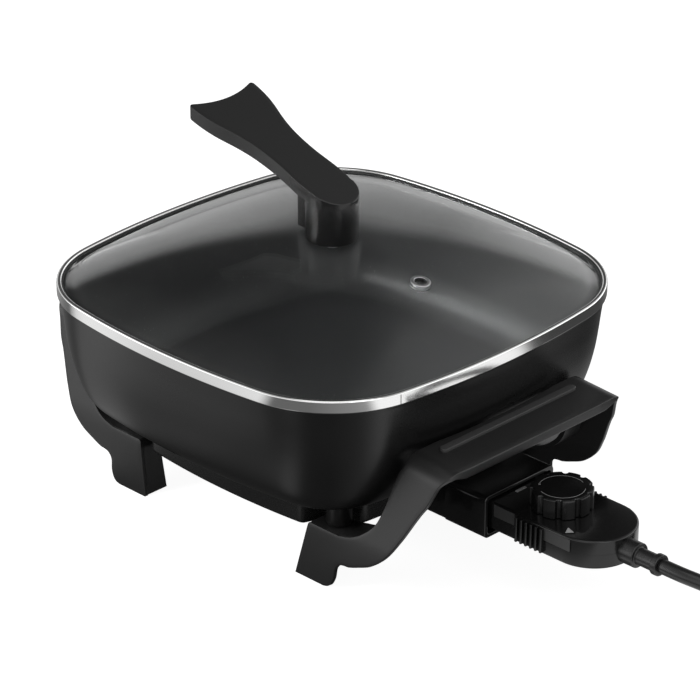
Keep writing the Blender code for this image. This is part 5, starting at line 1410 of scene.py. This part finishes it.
def makeFloor(s):
    mesh = bpy.data.meshes.new("floor")
    half = s["size"] / 2
    mesh.from_pydata([(-half, -half, 0), (half, -half, 0), (half, half, 0), (-half, half, 0)], [], [(0, 1, 2, 3)])
    look = Look("floor", Roughness=0.9, Specular_IOR_Level=0.0, Emission_Strength=1.0)
    place = look.fromAxis()
    camera, gloss = look.raySeen()
    x, y = look.split(place)[:2]
    far, near = look.around(x, y, s["cards"], s["nearCardsAndShadow"])
    away = look.node("VectorMath", [place], output="Value", operation="LENGTH")
    # painted shadow: what shiny pieces see of the floor is made dark under the pan and in a strip under the heat
    # control
    faded, out = look.between(away, s["near"], s["far"]), look.between(away, *s["under"])
    middle, long, wide = s["control"]
    out = out * (1 - x.sum("COMPARE", x, middle, long) * y.sum("COMPARE", y, 0.0, wide))
    near = near * out + (1 - out) * s["underShadowGlow"]
    glow = camera * s["glow"] + gloss * (1 - camera) * (far * faded + near * (1 - faded))
    shade = (1 - gloss) * s["shade"]
    mesh.materials.append(look.feed(Emission_Color=look.node("CombineColor", [glow] * 3),
                                    Base_Color=look.node("CombineColor", [shade] * 3)))
    addObject("floor", mesh)


makeFloor(stage)

sky = {
    # what shiny pieces see, by the sine of the elevation: a pale room whose ceiling is dark
    "gloss": ((0.0, 1.0), (0.28, 1.0), (0.38, 0.55), (0.57, 0.42), (0.71, 0.32), (0.87, 0.16), (1.0, 0.12)),
    # a factor for it by the angle round the room in degrees
    "around": ((-180, 0.65), (-165, 0.9), (-146, 2.6), (-128, 1.7), (-100, 1.1), (0, 1.0), (30, 1.5), (56, 1.9),
               (90, 1.6), (108, 1.1), (119, 0.75), (128, 0.38), (134, 0.50), (141, 0.62), (165, 0.70), (180, 0.65)),
    # a dark card up behind the skillet: its strength by the same angle, and the sine of the elevation where it starts
    "card": ((-180, 0.3), (-170, 0.0), (108, 0.0), (119, 0.6), (130, 0.85), (158, 0.85), (172, 0.5), (180, 0.3)),
    "cardLow": (0.34, 0.42),
    # a tall pale screen towards an angle, by how far the direction points to it
    "screen": ((0.0, 0.0), (0.12, 0.20), (0.50, 0.50), (0.72, 1.0), (1.0, 1.0)), "screenAngle": -45.0,
    # what lights the object, by the sine of the elevation
    "light": ((0.0, 0.50), (0.30, 0.45), (0.60, 0.30), (1.0, 0.25)),
}


def makeSky(s):
    world = bpy.data.worlds.new("studio")
    bpy.context.scene.world = world
    world.use_nodes = True
    graph = Graph(world.node_tree)
    back = graph.tree.nodes["Background"]
    back.inputs["Color"].default_value = colour(1.0)
    toward = graph.node("TexCoord")
    x, y, up = graph.split(toward)
    angle = math.radians(s["screenAngle"])
    facing = graph.node("VectorMath", [toward, (math.cos(angle), math.sin(angle), 0.0)], output="Value",
                        operation="DOT_PRODUCT")
    gloss, light = (graph.node("ValToRGB", [up], stops=s[k]) for k in ("gloss", "light"))
    around, card = graph.around(x, y, s["around"], s["card"])
    gloss = gloss * around * (1 - card * graph.between(up, *s["cardLow"]))
    gloss = gloss.sum("MAXIMUM", gloss, graph.node("ValToRGB", [facing], stops=s["screen"]))
    camera, mirror = graph.raySeen()
    seen = camera + (1 - camera) * (mirror * gloss + (1 - mirror) * light)
    graph.tree.links.new(seen.socket, back.inputs["Strength"])


makeSky(sky)

lamps = {
    # name: (place, aim, width, height, power, seen in mirrors)
    "key": ((-1.08, -1.40, 0.98), (0.0, 0.0, 0.08), 1.0, 0.9, 36.0, False),
    "fill": ((1.7, -0.5, 0.9), (0.0, 0.0, 0.08), 0.9, 0.9, 3.0, True),
    "top": ((0.3, -0.3, 1.8), (0.0, 0.0, 0.1), 1.2, 1.2, 4.0, True),
}


def makeLamps():
    for name, (place, aim, width, height, power, mirrored) in lamps.items():
        data = bpy.data.lights.new(name, "AREA")
        data.shape, data.size, data.size_y, data.energy = "RECTANGLE", width, height, power
        made = addObject(name, data)
        made.location = place
        made.visible_glossy = mirrored
        made.rotation_euler = (Vector(aim) - Vector(place)).to_track_quat("-Z", "Y").to_euler()


makeLamps()
bpy.context.scene.view_settings.view_transform = "Standard"
print("stage and lamps made")
